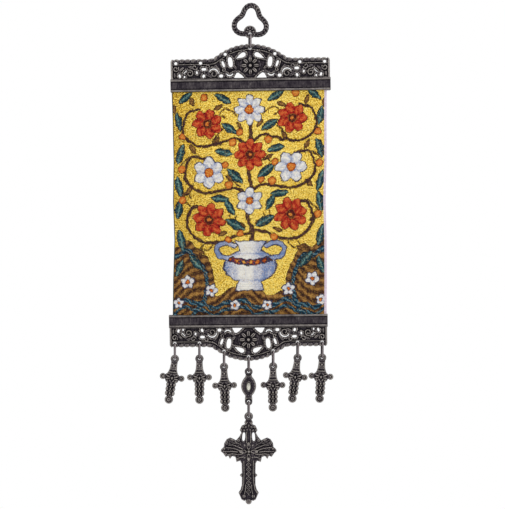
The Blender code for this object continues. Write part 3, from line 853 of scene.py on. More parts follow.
def crossHeight(X, Z, F):
    # bail, ribbed neck, leafy shoulders, curled knobs and a shaft of paired lobes about a plaited rib
    s = smallCross
    x, drop, radius = s["armKnob"]
    mirrored = np.abs(X)
    height = 0.6 + ridge(np.clip(F, 0, 9) - 0.5, 0.5, 0.35)
    for level, size in ((4.2, 0.35), (6.9, 0.3), (8.4, 0.3), (10.9, 0.75), (12.4, 0.35)):
        height = np.maximum(height, (0.7 + ridge(-Z - level, 0.45, size)) * (F > 0.3))
    height = np.maximum(height, 0.7 + dome(X, Z, 0, -5.6, 0.9, 0.9, 0.8))
    leaves = (
        (3.0, 14.6, 0.8, 2.4, 0.85, 68.0), (3.4, 16.4, 0.7, 2.2, 0.85, 96.0), (3.5, 18.2, 1.0, 1.5, 0.8, 25.0),
        (1.6, 13.4, 0.6, 1.6, 0.6, 120.0), (1.5, 17.9, 0.6, 1.3, 0.7, 40.0),
    )
    for side, level, width, length, size, lean in leaves:
        height = np.maximum(height, 0.6 + dome(mirrored, Z, side, -level, width, length, size, lean))
    height = np.maximum(height, 0.6 + dome(X, Z, 0, -15.8, 0.95, 1.3, 1.25))
    top, foot, narrow, wide, bumps = s["shaft"]
    for i in range(bumps):
        level = top + (foot - top) * (i + 0.5) / bumps
        height = np.maximum(height, 0.6 + dome(mirrored, Z, 2.75, -level, 1.15, 1.6, 0.8))
        height = np.maximum(height, 0.6 + dome(X, Z, 0, -level, 0.7, 1.1, 1.0))
        height = np.maximum(height, 0.6 + dome(mirrored, Z, 0.75, -level - 1.6, 0.45, 0.9, 0.75, 30.0))
    knob = np.hypot(mirrored - x, Z + drop)
    curled = np.hypot(mirrored - x + 0.2, Z + drop - 0.2)
    round_ = 0.55 + dome(mirrored, Z, x, -drop, radius, radius, 1.05)
    curl = 0.6 * bell(curled - 1.15, 0.32) * np.clip(0.5 + (mirrored - x + 0.8), 0.2, 1)
    height = np.where(knob < radius, round_ - curl, height)
    footReach = np.hypot(X, Z + s["footKnob"][0])
    round_ = 0.55 + dome(X, Z, 0, -s["footKnob"][0], 3.4, 3.4, 1.1)
    groove = 0.55 * bell(footReach - 1.9, 0.35) + 0.3 * bell(footReach, 0.5)
    height = np.where(footReach < s["footKnob"][1], round_ - groove, height)
    reach = np.hypot(X, Z)
    height = np.where(reach < s["bail"][0], 0.45 + ridge(reach - 2.3, 1.1, 0.55), height)
    return height * edgeFall(F, 0.45, 0.45)


def crossPolish(X, Z):
    # the neck and the studs down the middle are made lighter
    neck = 0.17 * bell(Z + 6.5, 4.2) * (Z < -2.5)
    studs = sum(0.4 * np.exp(-(X * X + (Z + drop) ** 2) / 0.7) for drop in (15.8, 19.6, 24.4))
    return neck + studs + 0.03


crossBox = (-10.6, 10.6, -37.4, 3.8)
vertices, faces, wear = castMesh(crossBox, smallCross["step"], crossField, crossHeight, crossHeight, crossPolish)
for node, swing in smallCross["swings"].items():
    piece = addMesh("smallCross" + node[-1], place(vertices, swing, jointPlace[node + "_sway"]), faces, wear)
    dress(piece, metal, node, node + "_body")
print("small crosses done,", len(faces) * 2, "triangles each")


# the eye-shaped connector

connector = {
    "bail": (3.2, 1.2),
    "body": (11.8, 6.1, 8.9, 2.3),
    "lowerEye": (24.5, 3.0, 1.2),
    "neck": ((2.2, 2.0), (2.9, 4.6), (2.9, 18.6), (2.7, 20.2), (3.0, 21.6), (3.0, 24.0)),
    "stone": (1.5, 3.1),
    "step": 0.2,
}


def connectorField(X, Z):
    # a pointed oval, where the sides to the power 1.7 add up to one, joined to its neck and two eyes
    s = connector
    drop, halfWidth, halfLength, _ = s["body"]
    reach = (np.abs(X) / halfWidth) ** 1.7 + (np.abs(Z + drop) / halfLength) ** 1.7
    body = (1 - reach ** (1 / 1.7)) * halfWidth
    shape = np.maximum(body, insideOutline(mirroredOutline(s["neck"]), X, Z))
    shape = np.maximum(shape, disc(X, Z, 0, 0, s["bail"][0]))
    shape = np.maximum(shape, disc(X, Z, 0, -s["lowerEye"][0], s["lowerEye"][1]))
    shape = np.minimum(shape, -disc(X, Z, 0, 0, s["bail"][1]))
    return np.minimum(shape, -disc(X, Z, 0, -s["lowerEye"][0], s["lowerEye"][2]))


def connectorHeight(X, Z, F):
    # a domed body with a beaded border and a smooth long stone in a bezel
    s = connector
    drop, halfWidth, halfLength, depth = s["body"]
    oval = np.hypot(X / halfWidth, (Z + drop) / halfLength)
    angle = np.arctan2(X / halfWidth, (Z + drop) / halfLength)
    height = 0.75 + (depth - 1.25) * np.sqrt(np.clip(1 - oval**2, 0, 1))
    beads = 0.5 + 0.5 * np.cos(angle * 18)
    rays = 0.5 + 0.5 * np.cos(angle * 24)
    height = height + 0.75 * beads * bell(oval - 0.84, 0.08)
    height = height - 0.22 * bell(oval - 0.70, 0.05)
    height = height + 0.28 * rays * bell(oval - 0.58, 0.07)
    stone = np.hypot(X / s["stone"][0], (Z + drop) / s["stone"][1])
    height = height + 0.5 * bell(stone - 1.28, 0.14)
    height = np.maximum(height, depth - 0.55 + dome(X, Z, 0, -drop, *s["stone"], 0.85))
    for level, radius in ((0.0, s["bail"][0]), (s["lowerEye"][0], s["lowerEye"][1])):
        reach = np.hypot(X, Z + level)
        height = np.where(reach < radius, 0.45 + ridge(reach - 0.7 * radius, 0.35 * radius, 0.55), height)
    for level in (4.2, 19.2, 20.5):
        height = np.maximum(height, 0.8 + ridge(-Z - level, 0.5, 0.4) * (np.abs(X) < 2.8))
    return height * edgeFall(F, 0.5, 0.4)


def connectorPolish(X, Z):
    # a little brighter about the body's middle
    return 0.05 * bell(Z + connector["body"][0], 8.0)


connectorBox = (-6.6, 6.6, -28, 3.6)
vertices, faces, wear = castMesh(connectorBox, connector["step"], connectorField, connectorHeight,
                                 connectorHeight, connectorPolish)
piece = addMesh("eyeConnector", place(vertices, 0, jointPlace["connector_sway"]), faces, wear)
fromStone = vertices[:, 2] + connector["body"][0]
onStone = np.hypot(vertices[:, 0] / connector["stone"][0], fromStone / connector["stone"][1]) < 1.02
addValues(piece, "pale", onStone * np.clip(0.78 - 0.14 * fromStone, 0.35, 1))  # paler towards its lower end, a painted highlight, and clouded at its upper end
dress(piece, metal, "connector", "connector_body")
print("connector done")


# the large cross

largeCross = {
    "bail": (3.5, 1.05),
    "outline": (
        (2.3, 2.6), (3.5, 4.8), (3.0, 6.4), (5.6, 7.6), (7.2, 11.2), (5.9, 13.2), (7.5, 16.4), (10.2, 19.6),
        (12.4, 18.4), (15.0, 17.3), (17.8, 18.7), (19.8, 21.8), (20.2, 25.0), (22.3, 26.9), (22.7, 28.4),
        (20.6, 30.2), (18.6, 33.2), (16.6, 32.0), (15.2, 34.8), (13.4, 32.4), (10.7, 33.2), (9.9, 37.2), (6.9, 36.2),
        (5.7, 38.6), (5.5, 46.4), (7.2, 48.1), (5.5, 49.8), (5.6, 56.2), (6.6, 60.0), (8.2, 62.4),
        (7.0, 65.2), (5.8, 68.0), (3.5, 69.3), (1.6, 68.0),
    ),
    "slot": (4.0, 16.6, 1.2, 3.6),
    "centre": 28.6,
    "petal": (4.6, 1.6, 3.1),
    "footBall": (69.5, 2.5),
    "step": 0.22,
}

# raised lumps of the right half: side, drop, half width, half length, height, lean
largeLeaves = (
    (2.2, 5.4, 0.7, 1.6, 0.8, 50.0),
    (0.0, 7.6, 0.9, 1.5, 1.0, 0.0),
    (2.4, 8.6, 0.8, 1.5, 0.9, -40.0),
    (4.8, 8.6, 1.0, 1.3, 1.0, 20.0),
    (6.0, 11.0, 0.9, 1.1, 1.0, 0.0),
    (3.6, 11.2, 0.8, 1.4, 0.9, 60.0),
    (1.3, 10.9, 0.7, 1.2, 0.9, -20.0),
    (9.6, 21.6, 0.8, 1.4, 0.9, 70.0),
    (6.6, 21.6, 0.7, 1.3, 0.8, 30.0),
    (8.4, 23.6, 0.6, 1.5, 0.8, 60.0),
    (15.4, 22.0, 0.8, 1.5, 0.9, 60.0),
    (17.9, 19.0, 0.8, 1.2, 0.9, 60.0),
    (14.0, 27.0, 0.6, 1.3, 0.7, 80.0),
    (18.4, 28.9, 0.7, 1.2, 0.8, 70.0),
    (12.6, 29.4, 0.5, 1.3, 0.7, 85.0),
    (8.6, 32.2, 0.7, 1.3, 0.8, 75.0),
    (3.2, 23.6, 0.6, 1.3, 0.8, 40.0),
    (3.2, 33.6, 0.6, 1.3, 0.8, -40.0),
    (2.9, 40.4, 0.35, 1.0, 0.7, 0.0),
    (2.9, 44.1, 0.35, 1.0, 0.7, 0.0),
    (2.9, 47.8, 0.35, 1.0, 0.7, 0.0),
    (2.9, 51.5, 0.35, 1.0, 0.7, 0.0),
    (5.0, 56.5, 0.5, 1.6, 0.8, 10.0),
    (12.0, 25.4, 0.6, 1.3, 0.8, 80.0),
    (16.4, 27.0, 0.6, 1.2, 0.8, 85.0),
    (19.6, 26.4, 0.8, 1.2, 0.9, 30.0),
    (11.4, 31.9, 0.8, 1.3, 0.8, 70.0),
    (8.2, 19.4, 1.5, 2.1, 1.0, 40.0),
    (13.6, 19.6, 1.6, 2.0, 0.9, 80.0),
    (17.6, 21.6, 1.5, 2.2, 0.9, 20.0),
    (18.6, 30.4, 1.1, 1.7, 0.9, 40.0),
    (15.3, 31.8, 1.0, 1.7, 0.9, 10.0),
    (9.3, 34.9, 1.5, 1.5, 0.8, 0.0),
    (6.0, 47.9, 0.95, 0.95, 1.0, 0.0),
    (6.9, 61.4, 1.3, 2.2, 0.9, -20.0),
    (3.8, 65.2, 1.6, 1.8, 1.0, 0.0),
)

# raised lines of the right half, as points of side and drop
largeLines = (
    ((5.0, 26.4), (9.0, 24.6), (13.0, 23.0), (16.2, 23.4)),
    ((5.5, 28.6), (10.0, 26.6), (14.4, 25.6), (18.4, 25.4)),
    ((9.0, 28.9), (13.4, 28.4), (17.0, 28.6), (20.6, 28.3)),
    ((5.6, 30.8), (9.6, 30.9), (13.0, 30.4), (17.0, 31.0)),
    ((4.2, 33.0), (7.0, 33.4), (10.2, 34.6)),
    ((11.0, 21.6), (13.6, 21.4), (16.0, 19.6)),
    ((6.2, 23.2), (8.4, 22.0), (11.0, 20.4)),
    ((3.9, 36.6), (3.7, 46.0), (4.0, 54.0), (5.2, 60.0), (7.2, 62.6)),
    ((2.4, 56.0), (2.6, 60.0), (3.4, 63.4)),
    ((1.2, 5.0), (2.9, 6.6), (4.0, 6.9)),
    ((1.6, 12.6), (1.7, 18.0), (1.6, 21.6)),
    ((6.0, 13.4), (6.9, 17.4), (7.6, 20.6)),
)


def largeField(X, Z):
    # the outline joined to its bail and foot ball, less the bail's hole and the two slots of the neck
    s = largeCross
    shape = np.maximum(insideOutline(mirroredOutline(s["outline"]), X, Z), disc(X, Z, 0, 0, s["bail"][0]))
    shape = np.maximum(shape, disc(X, Z, 0, -s["footBall"][0], s["footBall"][1]))
    x, drop, halfWidth, halfLength = s["slot"]
    slot = insideOutline(ovalPoints(x, -drop, halfWidth, halfLength, lean=-4.0), np.abs(X), Z)
    shape = np.minimum(shape, -slot)
    return np.minimum(shape, -disc(X, Z, 0, 0, s["bail"][1]))


def largeHeight(X, Z, F):
    # open-bordered casting: a raised line round the edge, leaves, a diamond chain and four long petals
    s = largeCross
    height = 0.5 + 0.17 * pebbled(X, Z) + ridge(np.clip(F, 0, 9) - 0.45, 0.45, 0.55)
    mirrored = np.abs(X)
    for side, drop, width, length, size, lean in largeLeaves:
        leaf = leafDome(mirrored, Z, side, -drop, width, length, size, lean, 0.25, 0.45)
        height = np.maximum(height, 0.55 + 1.25 * leaf)
    for points in largeLines:
        line = strokeDistance(mirrored, Z, [(side, -drop) for side, drop in points])
        height = np.maximum(height, 0.5 + ridge(line, 0.5, 0.95))
    chain = np.abs((-Z - 37.6) % 3.7 - 1.85) / 1.85
    diamond = mirrored / 2.1 + chain
    onShaft = (-Z > 36.2) & (-Z < 64.5)
    height = np.maximum(height, np.where(onShaft, 0.5 + ridge(diamond - 0.9, 0.26, 0.9), 0))
    height = np.maximum(height, np.where(onShaft, 0.55 + ridge(diamond, 0.42, 0.75), 0))
    reach, halfWidth, halfLength = s["petal"]
    for turn in range(4):
        px, pz = reach * math.sin(math.pi / 2 * turn), reach * math.cos(math.pi / 2 * turn)
        petal = dome(X, Z, px, -s["centre"] + pz, halfWidth, halfLength, 1.0, 90.0 * turn)
        hollow = dome(X, Z, px, -s["centre"] + pz, 0.75 * halfWidth, 0.75 * halfLength, 0.85, 90.0 * turn)
        height = np.maximum(height, 0.7 + np.where(petal > 0, 0.6 + petal * 0.65, 0)) - 1.2 * hollow
    height = np.maximum(height, 0.9 + dome(X, Z, 0, -s["centre"], 1.2, 1.2, 0.9))
    bailReach = np.hypot(X, Z)
    height = np.where(bailReach < s["bail"][0], 0.45 + ridge(bailReach - 2.35, 1.15, 0.55), height)
    ballReach = np.hypot(X, Z + s["footBall"][0])
    height = np.where(ballReach < s["footBall"][1], 0.5 + dome(X, Z, 0, -s["footBall"][0], 2.5, 2.5, 1.4), height)
    return np.clip(height, 0.3, 1.95) * edgeFall(F, 0.5, 0.4)


def largePolish(X, Z):
    # painted glints at the outer ends of the four petals; the petals and the chain of diamonds down the middle are a
    # little brighter
    level = Z + largeCross["centre"]
    reach, across = np.hypot(X, level), np.minimum(np.abs(X), np.abs(level))
    petals = 0.16 * bell(reach - 4.6, 2.6)
    glint = 0.85 * bell(reach - 6.0, 1.1) * bell(across, 0.9)
    return petals + glint + 0.05 * bell(X, 2.6)


largeBox = (-23.3, 23.3, -72.6, 3.9)
vertices, faces, wear = castMesh(largeBox, largeCross["step"], largeField, largeHeight, largeHeight, largePolish)
piece = addMesh("largeCross", place(vertices, 0, jointPlace["large_cross_sway"]), faces, wear)
dress(piece, metal, "large_cross", "large_cross_body")
print("large cross done,", len(faces) * 2, "triangles")


# the wire links

link = {
    "wire": 0.71,
    "bend": 2.25,
    "sides": 12,
    "bendSteps": 18,
    "twist": 11.0,
    "ringTwist": 18.0,
    "spans": {"ring_link": 11.0, "link_4": 12.0, "link_8": 12.0},
    "usualSpan": 12.6,
}


def buildLink(node, top, body):
    # a round wire carried along two straights and two half turns in the YZ plane, with painted light outside the
    # loop and painted shade inside it
    straight = link["spans"].get(node, link["usualSpan"]) - 2 * link["bend"]
    turns = np.linspace(0, math.pi, link["bendSteps"] + 1)
    along = np.concatenate([turns, turns + math.pi])
    level = np.repeat([0.0, -straight], len(turns))
    outY, outZ = np.cos(along), np.sin(along)
    section = np.linspace(0, 2 * math.pi, link["sides"], endpoint=False)
    reach = link["bend"] + link["wire"] * np.cos(section)[None, :]
    x = np.broadcast_to(link["wire"] * np.sin(section)[None, :], (len(along), link["sides"]))
    y, z = outY[:, None] * reach, level[:, None] + outZ[:, None] * reach
    vertices = np.stack([x, y, z], -1).reshape(-1, 3)
    rows, columns = len(along), link["sides"]
    i, k = np.meshgrid(np.arange(rows), np.arange(columns), indexing="ij")
    i2, k2 = (i + 1) % rows, (k + 1) % columns
    faces = np.stack([i * columns + k, i2 * columns + k, i2 * columns + k2, i * columns + k2], -1).reshape(-1, 4)
    twist = link["ringTwist"] if node == "ring_link" else link["twist"]
    vertices[:, :2] = turned(vertices[:, :2], 0, 0, -twist)
    # painted light on the outer side of the loop, falling to painted shade on its inner side
    polishAndPaintedLight = np.broadcast_to(0.5 + 0.5 * np.cos(section)[None, :], (rows, columns)).ravel()
    obj = addMesh(node.replace("_", "") + "Wire", place(vertices, 0, top), faces, polishAndPaintedLight)
    dress(obj, wire, node, body)


for number in range(1, 9):
    name = "link_" + str(number)
    buildLink(name, jointPlace[name + "_swing"], name + "_body")
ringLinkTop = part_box("ring_link")[1].z - (link["bend"] + link["wire"]) * mm
buildLink("ring_link", (0, 0, ringLinkTop), "root")
print("links done")


# the woven cloth: one sheet, its picture a flowering tree in an urn, drawn in the cloth's own widths

cloth = {
    "thickness": 1.5,
    "drop": 179.5,
    "flat": (123.5, 191.9),
    "grip": 6.2,
    "centreY": 0.2,
    "belly": 1.1,
    "curl": 0.9,
    "edges": ((0.0, -62.7, 61.5), (0.13, -62.0, 61.4), (0.31, -61.4, 61.6), (0.49, -61.9, 60.9),
              (0.66, -60.9, 61.8), (0.84, -62.0, 62.0), (1.0, -62.4, 61.9)),
    "topEdge": -65.996,
    "tilts": (0.9, 0.5),
    "across": 172,
    "down": 280,
    "stitches": (224.0, 400.0),
}


def clothPoint(u, v):
    # sideways between the two edges, down by the drop, forward by a shallow belly and a curl at the sides
    s = cloth
    parts = [row[0] for row in s["edges"]]
    inside = np.clip(v, 0, 1)
    left = np.interp(inside, parts, [row[1] for row in s["edges"]])
    right = np.interp(inside, parts, [row[2] for row in s["edges"]])
    x = left + (right - left) * u
    belly = -s["belly"] * np.sin(math.pi * u) * np.sin(math.pi * inside)
    curl = s["curl"] * (2 * u - 1) ** 4 * np.sin(math.pi * inside) * (0.6 + 0.4 * np.sin(9 * inside + 3 * u))
    top, bottom = (math.tan(math.radians(angle)) for angle in s["tilts"])
    lift = ((1 - inside) * top + inside * bottom) * x
    return x, s["centreY"] + belly + curl, s["topEdge"] - v * s["drop"] + lift


def nearestMark(marks):
    # each mark is a field, positive inside: the largest wins, down to 60 mm away
    return np.maximum(np.maximum.reduce(marks), -60.0)


def stem(X, Z, points, width):
    # a smooth line through the points, by a Catmull-Rom curve, and its distance less the width
    rows = np.array(points, float)
    rows = np.concatenate([[2 * rows[0] - rows[1]], rows, [2 * rows[-1] - rows[-2]]])
    t = np.linspace(0, 1, 9)[:, None]
    line = []
    for a, b, c, d in zip(rows[:-3], rows[1:-2], rows[2:-1], rows[3:]):
        line.append(0.5 * (2 * b + (c - a) * t + (2 * a - 5 * b + 4 * c - d) * t**2
                           + (3 * b - a - 3 * c + d) * t**3))
    return width - strokeDistance(X, Z, np.concatenate(line))


def blade(X, Z, x, z, halfWidth, halfLength, lean):
    # a pointed leaf: the overlap of two discs, turned
    across, along = local(X, Z, x, z, lean)
    radius = (halfWidth**2 + halfLength**2) / (2 * halfWidth)
    return radius - np.hypot(np.abs(across) + radius - halfWidth, along)


def blossom(X, Z, x, z, radius, petals, turn=0.0, depth=0.28):
    # a round flower whose edge runs in and out once for each petal
    angle = np.arctan2(X - x, Z - z) - math.radians(turn)
    return radius * (1 - depth + depth * np.abs(np.cos(petals * angle / 2))) - np.hypot(X - x, Z - z)


# the design's marks, in millimetres: across from the middle, and up from the middle of the cloth
designStems = (
    (((0, -32), (2, -22), (-2, -10), (2, 8), (-1, 26), (1, 48), (0, 68)), 1.7),
    (((0, -24), (-12, -26), (-24, -31), (-40, -30), (-51, -18), (-46, -3), (-36, -4)), 1.2),
    (((0, -21), (12, -23), (24, -28), (40, -27), (51, -14), (46, 1), (36, 0)), 1.2),
    (((0, 6), (-10, 12), (-20, 11), (-38, 9), (-52, 20), (-48, 37), (-36, 36)), 1.1),
    (((0, 9), (10, 15), (20, 14), (38, 13), (52, 24), (48, 41), (36, 40)), 1.1),
    (((0, 44), (-10, 52), (-20, 50), (-40, 46), (-53, 56), (-50, 72), (-40, 76)), 1.0),
    (((0, 47), (10, 55), (20, 53), (40, 50), (53, 60), (50, 75), (40, 79)), 1.0),
)
designLeaves = (
    (-12, -17, 3.2, 8.5, -62), (12, -14, 3.2, 8.5, 62), (-56, -29, 2.9, 8.5, -12), (57, -26, 2.9, 8.5, 14),
    (-57, -4, 2.8, 8.0, 10), (57, 1, 2.8, 8.0, -10), (-12, 22, 3.1, 8.5, -50), (13, 26, 3.1, 8.5, 50),
    (-24, 4, 2.6, 7.0, -86), (24, 8, 2.6, 7.0, 86), (-57, 14, 2.6, 8.0, -14), (57, 18, 2.6, 8.0, 14),
    (-56, 40, 2.8, 8.0, 16), (56, 44, 2.8, 8.0, -16), (-16, 60, 2.8, 7.5, -58), (16, 63, 2.8, 7.5, 58),
    (-21, 41, 2.6, 7.0, -76), (21, 44, 2.6, 7.0, 76), (-57, 66, 2.5, 7.5, -10), (57, 70, 2.5, 7.5, 10),
    (-21, 84, 2.6, 7.0, -60), (21, 86, 2.6, 7.0, 60), (-51, 85, 2.4, 6.5, 50), (52, 87, 2.4, 6.5, -50),
    (-16, -3, 2.5, 7.0, -30), (17, 1, 2.5, 7.0, 30), (-44, -47, 3.0, 8.0, -40), (45, -45, 3.0, 8.0, 40),
    (-57, -52, 2.6, 7.0, 20), (57, -50, 2.6, 7.0, -20),
)
designRed = (
    (-33, -13, 13.5, 8, 10), (33, -9, 13.5, 8, 30), (0, 39, 12.5, 8, 0), (-34, 64, 12.0, 7, 15),
    (34, 68, 12.0, 7, 40),
)
designWhite = (
    (-33, 25, 12.5, 6, 0), (33, 29, 12.5, 6, 30), (0, 75, 12.0, 8, 0), (0, 2, 10.5, 6, 0),
)
designTendrils = (
    (((-22, 60), (-30, 49), (-24, 47), (-22, 50)), 0.55), (((22, 63), (30, 53), (25, 50), (22, 53)), 0.55),
    (((-8, 14), (-14, 18), (-18, 15), (-17, 13)), 0.5), (((8, 34), (14, 36), (16, 31), (13, 30)), 0.5),
    (((-47, -2), (-54, 4), (-50, 8), (-47, 5)), 0.5), (((47, 3), (54, -4), (56, -8), (52, -10)), 0.5),
    (((-49, 38), (-55, 32), (-56, 28), (-52, 27)), 0.5), (((50, 42), (56, 36), (56, 31), (53, 30)), 0.5),
    (((-10, 70), (-18, 76), (-24, 72), (-20, 69)), 0.5), (((10, 71), (18, 77), (24, 74), (20, 71)), 0.5),
    (((-28, -30), (-34, -37), (-40, -36), (-38, -33)), 0.5), (((28, -28), (34, -35), (40, -34), (38, -31)), 0.5),
    (((-13, -4), (-16, -10), (-13, -13), (-11, -10)), 0.5), (((13, -2), (16, -8), (13, -11), (11, -8)), 0.5),
)
designBracts = (
    (-27, 50, 1.5, 4.2, 30), (28, 54, 1.5, 4.2, -30), (-16, 20, 1.4, 3.8, -50), (15, 37, 1.4, 3.8, 60),
    (-52, 8, 1.4, 3.8, 80), (52, -12, 1.4, 3.8, 60), (-46, 44, 1.5, 4.2, -30), (46, 47, 1.5, 4.2, 30),
    (-25, 77, 1.5, 4.0, 60), (26, 79, 1.5, 4.0, -60), (-41, -38, 1.5, 4.0, -60), (41, -35, 1.5, 4.0, 60),
    (-48, 12, 1.5, 4.0, 40), (48, 16, 1.5, 4.0, -40), (-8, 62, 1.4, 3.8, -40), (8, 64, 1.4, 3.8, 40),
    (-7, -17, 1.4, 3.8, -60), (7, -15, 1.4, 3.8, 60), (-22, -24, 1.4, 3.8, 70), (22, -21, 1.4, 3.8, -70),
    (-46, 82, 1.4, 3.6, -20), (46, 83, 1.4, 3.6, 20), (-60, 76, 1.3, 3.6, 0), (60, 80, 1.3, 3.6, 0),
)
designBuds = (
    (-17, 15, 2.9), (18, 18, 2.9), (-18, -29, 2.6), (19, -27, 2.6), (-14, 49, 2.8), (15, 51, 2.8),
    (-54, 3, 2.7), (55, -9, 2.7), (-55, 28, 2.7), (56, 32, 2.7), (-54, 54, 2.6), (55, 57, 2.6),
    (-36, 85, 2.8), (37, 88, 2.8), (-8, 57, 2.4), (9, 19, 2.4), (-8, -24, 2.4), (20, 33, 2.4), (-20, 31, 2.4),
)
designHillFlowers = (
    (-50, -63, 5.4, 5, 0), (-31, -70, 4.8, 5, 20), (31, -69, 4.8, 5, 0), (50, -61, 5.4, 5, 30),
    (-12, -82, 4.0, 5, 10),
    (14, -82, 4.0, 5, 40), (-57, -80, 4.0, 5, 0), (57, -78, 4.0, 5, 10),
)


def petalLight(x, z, rows):
    # the nearest flower's own light: high along each petal's middle, low in the creases between them
    light, nearest = np.zeros(x.shape), np.full(x.shape, 1e9)
    for cx, cz, radius, petals, turn in rows:
        reach = np.hypot(x - cx, z - cz) / radius
        angle = np.arctan2(x - cx, z - cz) - math.radians(turn)
        own = np.abs(np.cos(petals * angle / 2)) ** 0.6 * (0.75 + 0.25 * np.cos(9 * angle + 14 * reach))
        own = own * (1.1 - 0.55 * bell(reach - 0.28, 0.12))
        light = np.where(reach < nearest, own, light)
        nearest = np.minimum(nearest, reach)
    return light


def leafLight(x, z, rows):
    # a pale vein down the middle and slanting side veins
    light, nearest = np.full(x.shape, 0.3), np.full(x.shape, -1e9)
    for cx, cz, halfWidth, halfLength, lean in rows:
        u, v = local(x, z, cx, cz, lean)
        inside = blade(x, z, cx, cz, halfWidth, halfLength, lean)
        own = 0.34 + 0.62 * bell(u, 0.6) + 0.16 * np.sin(2.2 * (v - np.abs(u))) - 0.05 * np.sign(u)
        light = np.where(inside > nearest, own, light)
        nearest = np.maximum(nearest, inside)
    return light


def designFields(X, Z):
    # one signed distance for each colour of yarn, positive inside it, in millimetres, and one tone for all
    wobble = 0.3 * np.sin(X * 0.9 + Z * 0.31) + 0.25 * np.sin(Z * 1.1 - X * 0.43)
    x, z = X + wobble, Z + 0.8 * wobble
    stems = nearestMark([stem(x, z, points, width) for points, width in designStems + designTendrils])
    leaves = nearestMark([blade(x, z, *row) for row in designLeaves])
    bracts = nearestMark([blade(x, z, *row) for row in designBracts])
    red = nearestMark([blossom(x, z, *row) for row in designRed])
    whiteFlowers = nearestMark([blossom(x, z, *row, depth=0.34) for row in designWhite + designHillFlowers])
    hearts = nearestMark([3.4 - np.hypot(x - row[0], z - row[1]) for row in designRed])
    pips = [1.5 - np.hypot(x - row[0], z - row[1]) for row in designRed]
    eyes = [0.27 * row[2] - np.hypot(x - row[0], z - row[1]) for row in designWhite + designHillFlowers]
    buds = nearestMark([radius - np.hypot(x - bx, z - bz) for bx, bz, radius in designBuds])
    # the urn: a round belly, a neck that flares to its lip, a foot, and a handle at each side
    belly = (1 - np.hypot(x / 20.5, (z + 50.5) / 13.0)) * 13.0
    neck = np.minimum(8.0 + 0.05 * (z + 40) ** 2 - np.abs(x), 5.4 - np.abs(z + 36))
    foot = np.minimum(8.5 + 0.35 * np.maximum(-62 - z, 0) - np.abs(x), 4.2 - np.abs(z + 65.5))
    handle = stem(np.abs(x), z, ((17, -44), (25, -42), (27, -35), (20, -31.5), (13, -34)), 1.5)
    urn = np.maximum.reduce([belly, neck, foot, handle])
    bandUrn = np.minimum(2.4 - np.abs(z + 47.5 - 0.012 * x * x), belly - 1.2)
    beads = np.minimum(1.25 - np.hypot((x + 400) % 5.6 - 2.8, z + 47.5 - 0.012 * x * x), belly - 1.0)
    # the ground: rounded hills that rise at both sides, with slanting strata, and waves below
    hills = -70 + 3.2 * np.cos(x / 7.5 + 0.5) + 1.8 * np.sin(x / 3.3)
    mound = np.hypot((np.abs(x) - 55) / 26.0, (z + 66) / (34 + 3 * np.sin(x / 2.9)))
    earth = np.maximum(hills - z, (1 - mound) * 24)
    wavePhase = z + 81 + 2.6 * np.sin(x / 6.2) + 1.2 * np.sin(x / 2.6)
    blue = np.maximum(1.7 - np.abs(wavePhase), 1.2 - np.abs(wavePhase + 5.4))
    blue = np.maximum(blue, np.minimum(1.3 - np.abs((1 - mound) * 24 - 5.0), -46 - z + 0.2 * np.abs(x)))
    # tone: how dark or light the yarn is, from 0 to 1; on the gold ground it also holds painted shade and light
    # painted light about the middle of the gold ground and painted shade at its left edge
    gold = 0.50 + 0.13 * bell(x - 14, 36) - 0.16 * bell(x + 64, 20)
    gold = gold + 0.05 * np.sin(x / 9 + z / 14) * np.sin(z / 11)
    strata = np.sin(0.95 * (z + 0.55 * np.abs(x) + 3.4 * np.sin(x / 6.0)))
    tone = np.where(earth > -0.4, 0.46 + 0.36 * strata + 0.12 * np.sin(x * 1.3), gold)
    tone = np.where(bracts > -0.4, 0.34 + 0.3 * np.clip(bracts, 0, 2), tone)
    tone = np.where(blue > -0.4, 0.30 + 0.38 * np.sin(wavePhase * 2.0 + x * 0.9), tone)
    tone = np.where(stems > -0.4, 0.25 + 0.25 * np.clip(stems, 0, 2), tone)
    tone = np.where(leaves > -0.4, leafLight(x, z, designLeaves), tone)
    tone = np.where(red > -0.4, 0.06 + 0.82 * petalLight(x, z, designRed), tone)
    flowers = 0.10 + 0.88 * petalLight(x, z, designWhite + designHillFlowers)
    tone = np.where(whiteFlowers > -0.4, flowers, tone)
    body = 0.06 + 0.92 * bell(x + 3.5, 10.5) + 0.16 * np.cos(x * 0.82) * bell(z + 57, 5)
    body = body - 0.45 * bell(z + 40.5, 1.0) - 0.4 * bell(z + 62, 1.2)
    tone = np.where(urn > -0.4, body, tone)
    tone = np.where(buds > -0.4, 0.25 + 0.22 * np.clip(buds, 0, 3) + 0.05 * (x - z) % 0.2, tone)
    return {
        "stem": stems,
        "leaf": leaves,
        "red": np.maximum(red, bandUrn),
        "white": np.maximum(whiteFlowers, np.where(bandUrn > -0.6, -0.6, urn)),
        "orange": np.maximum.reduce([buds, *eyes, *pips, beads]),
        "heart": hearts,
        "earth": np.maximum(earth, bracts),
        "blue": np.minimum(blue, earth + 0.5),
        "tone": tone,
    }


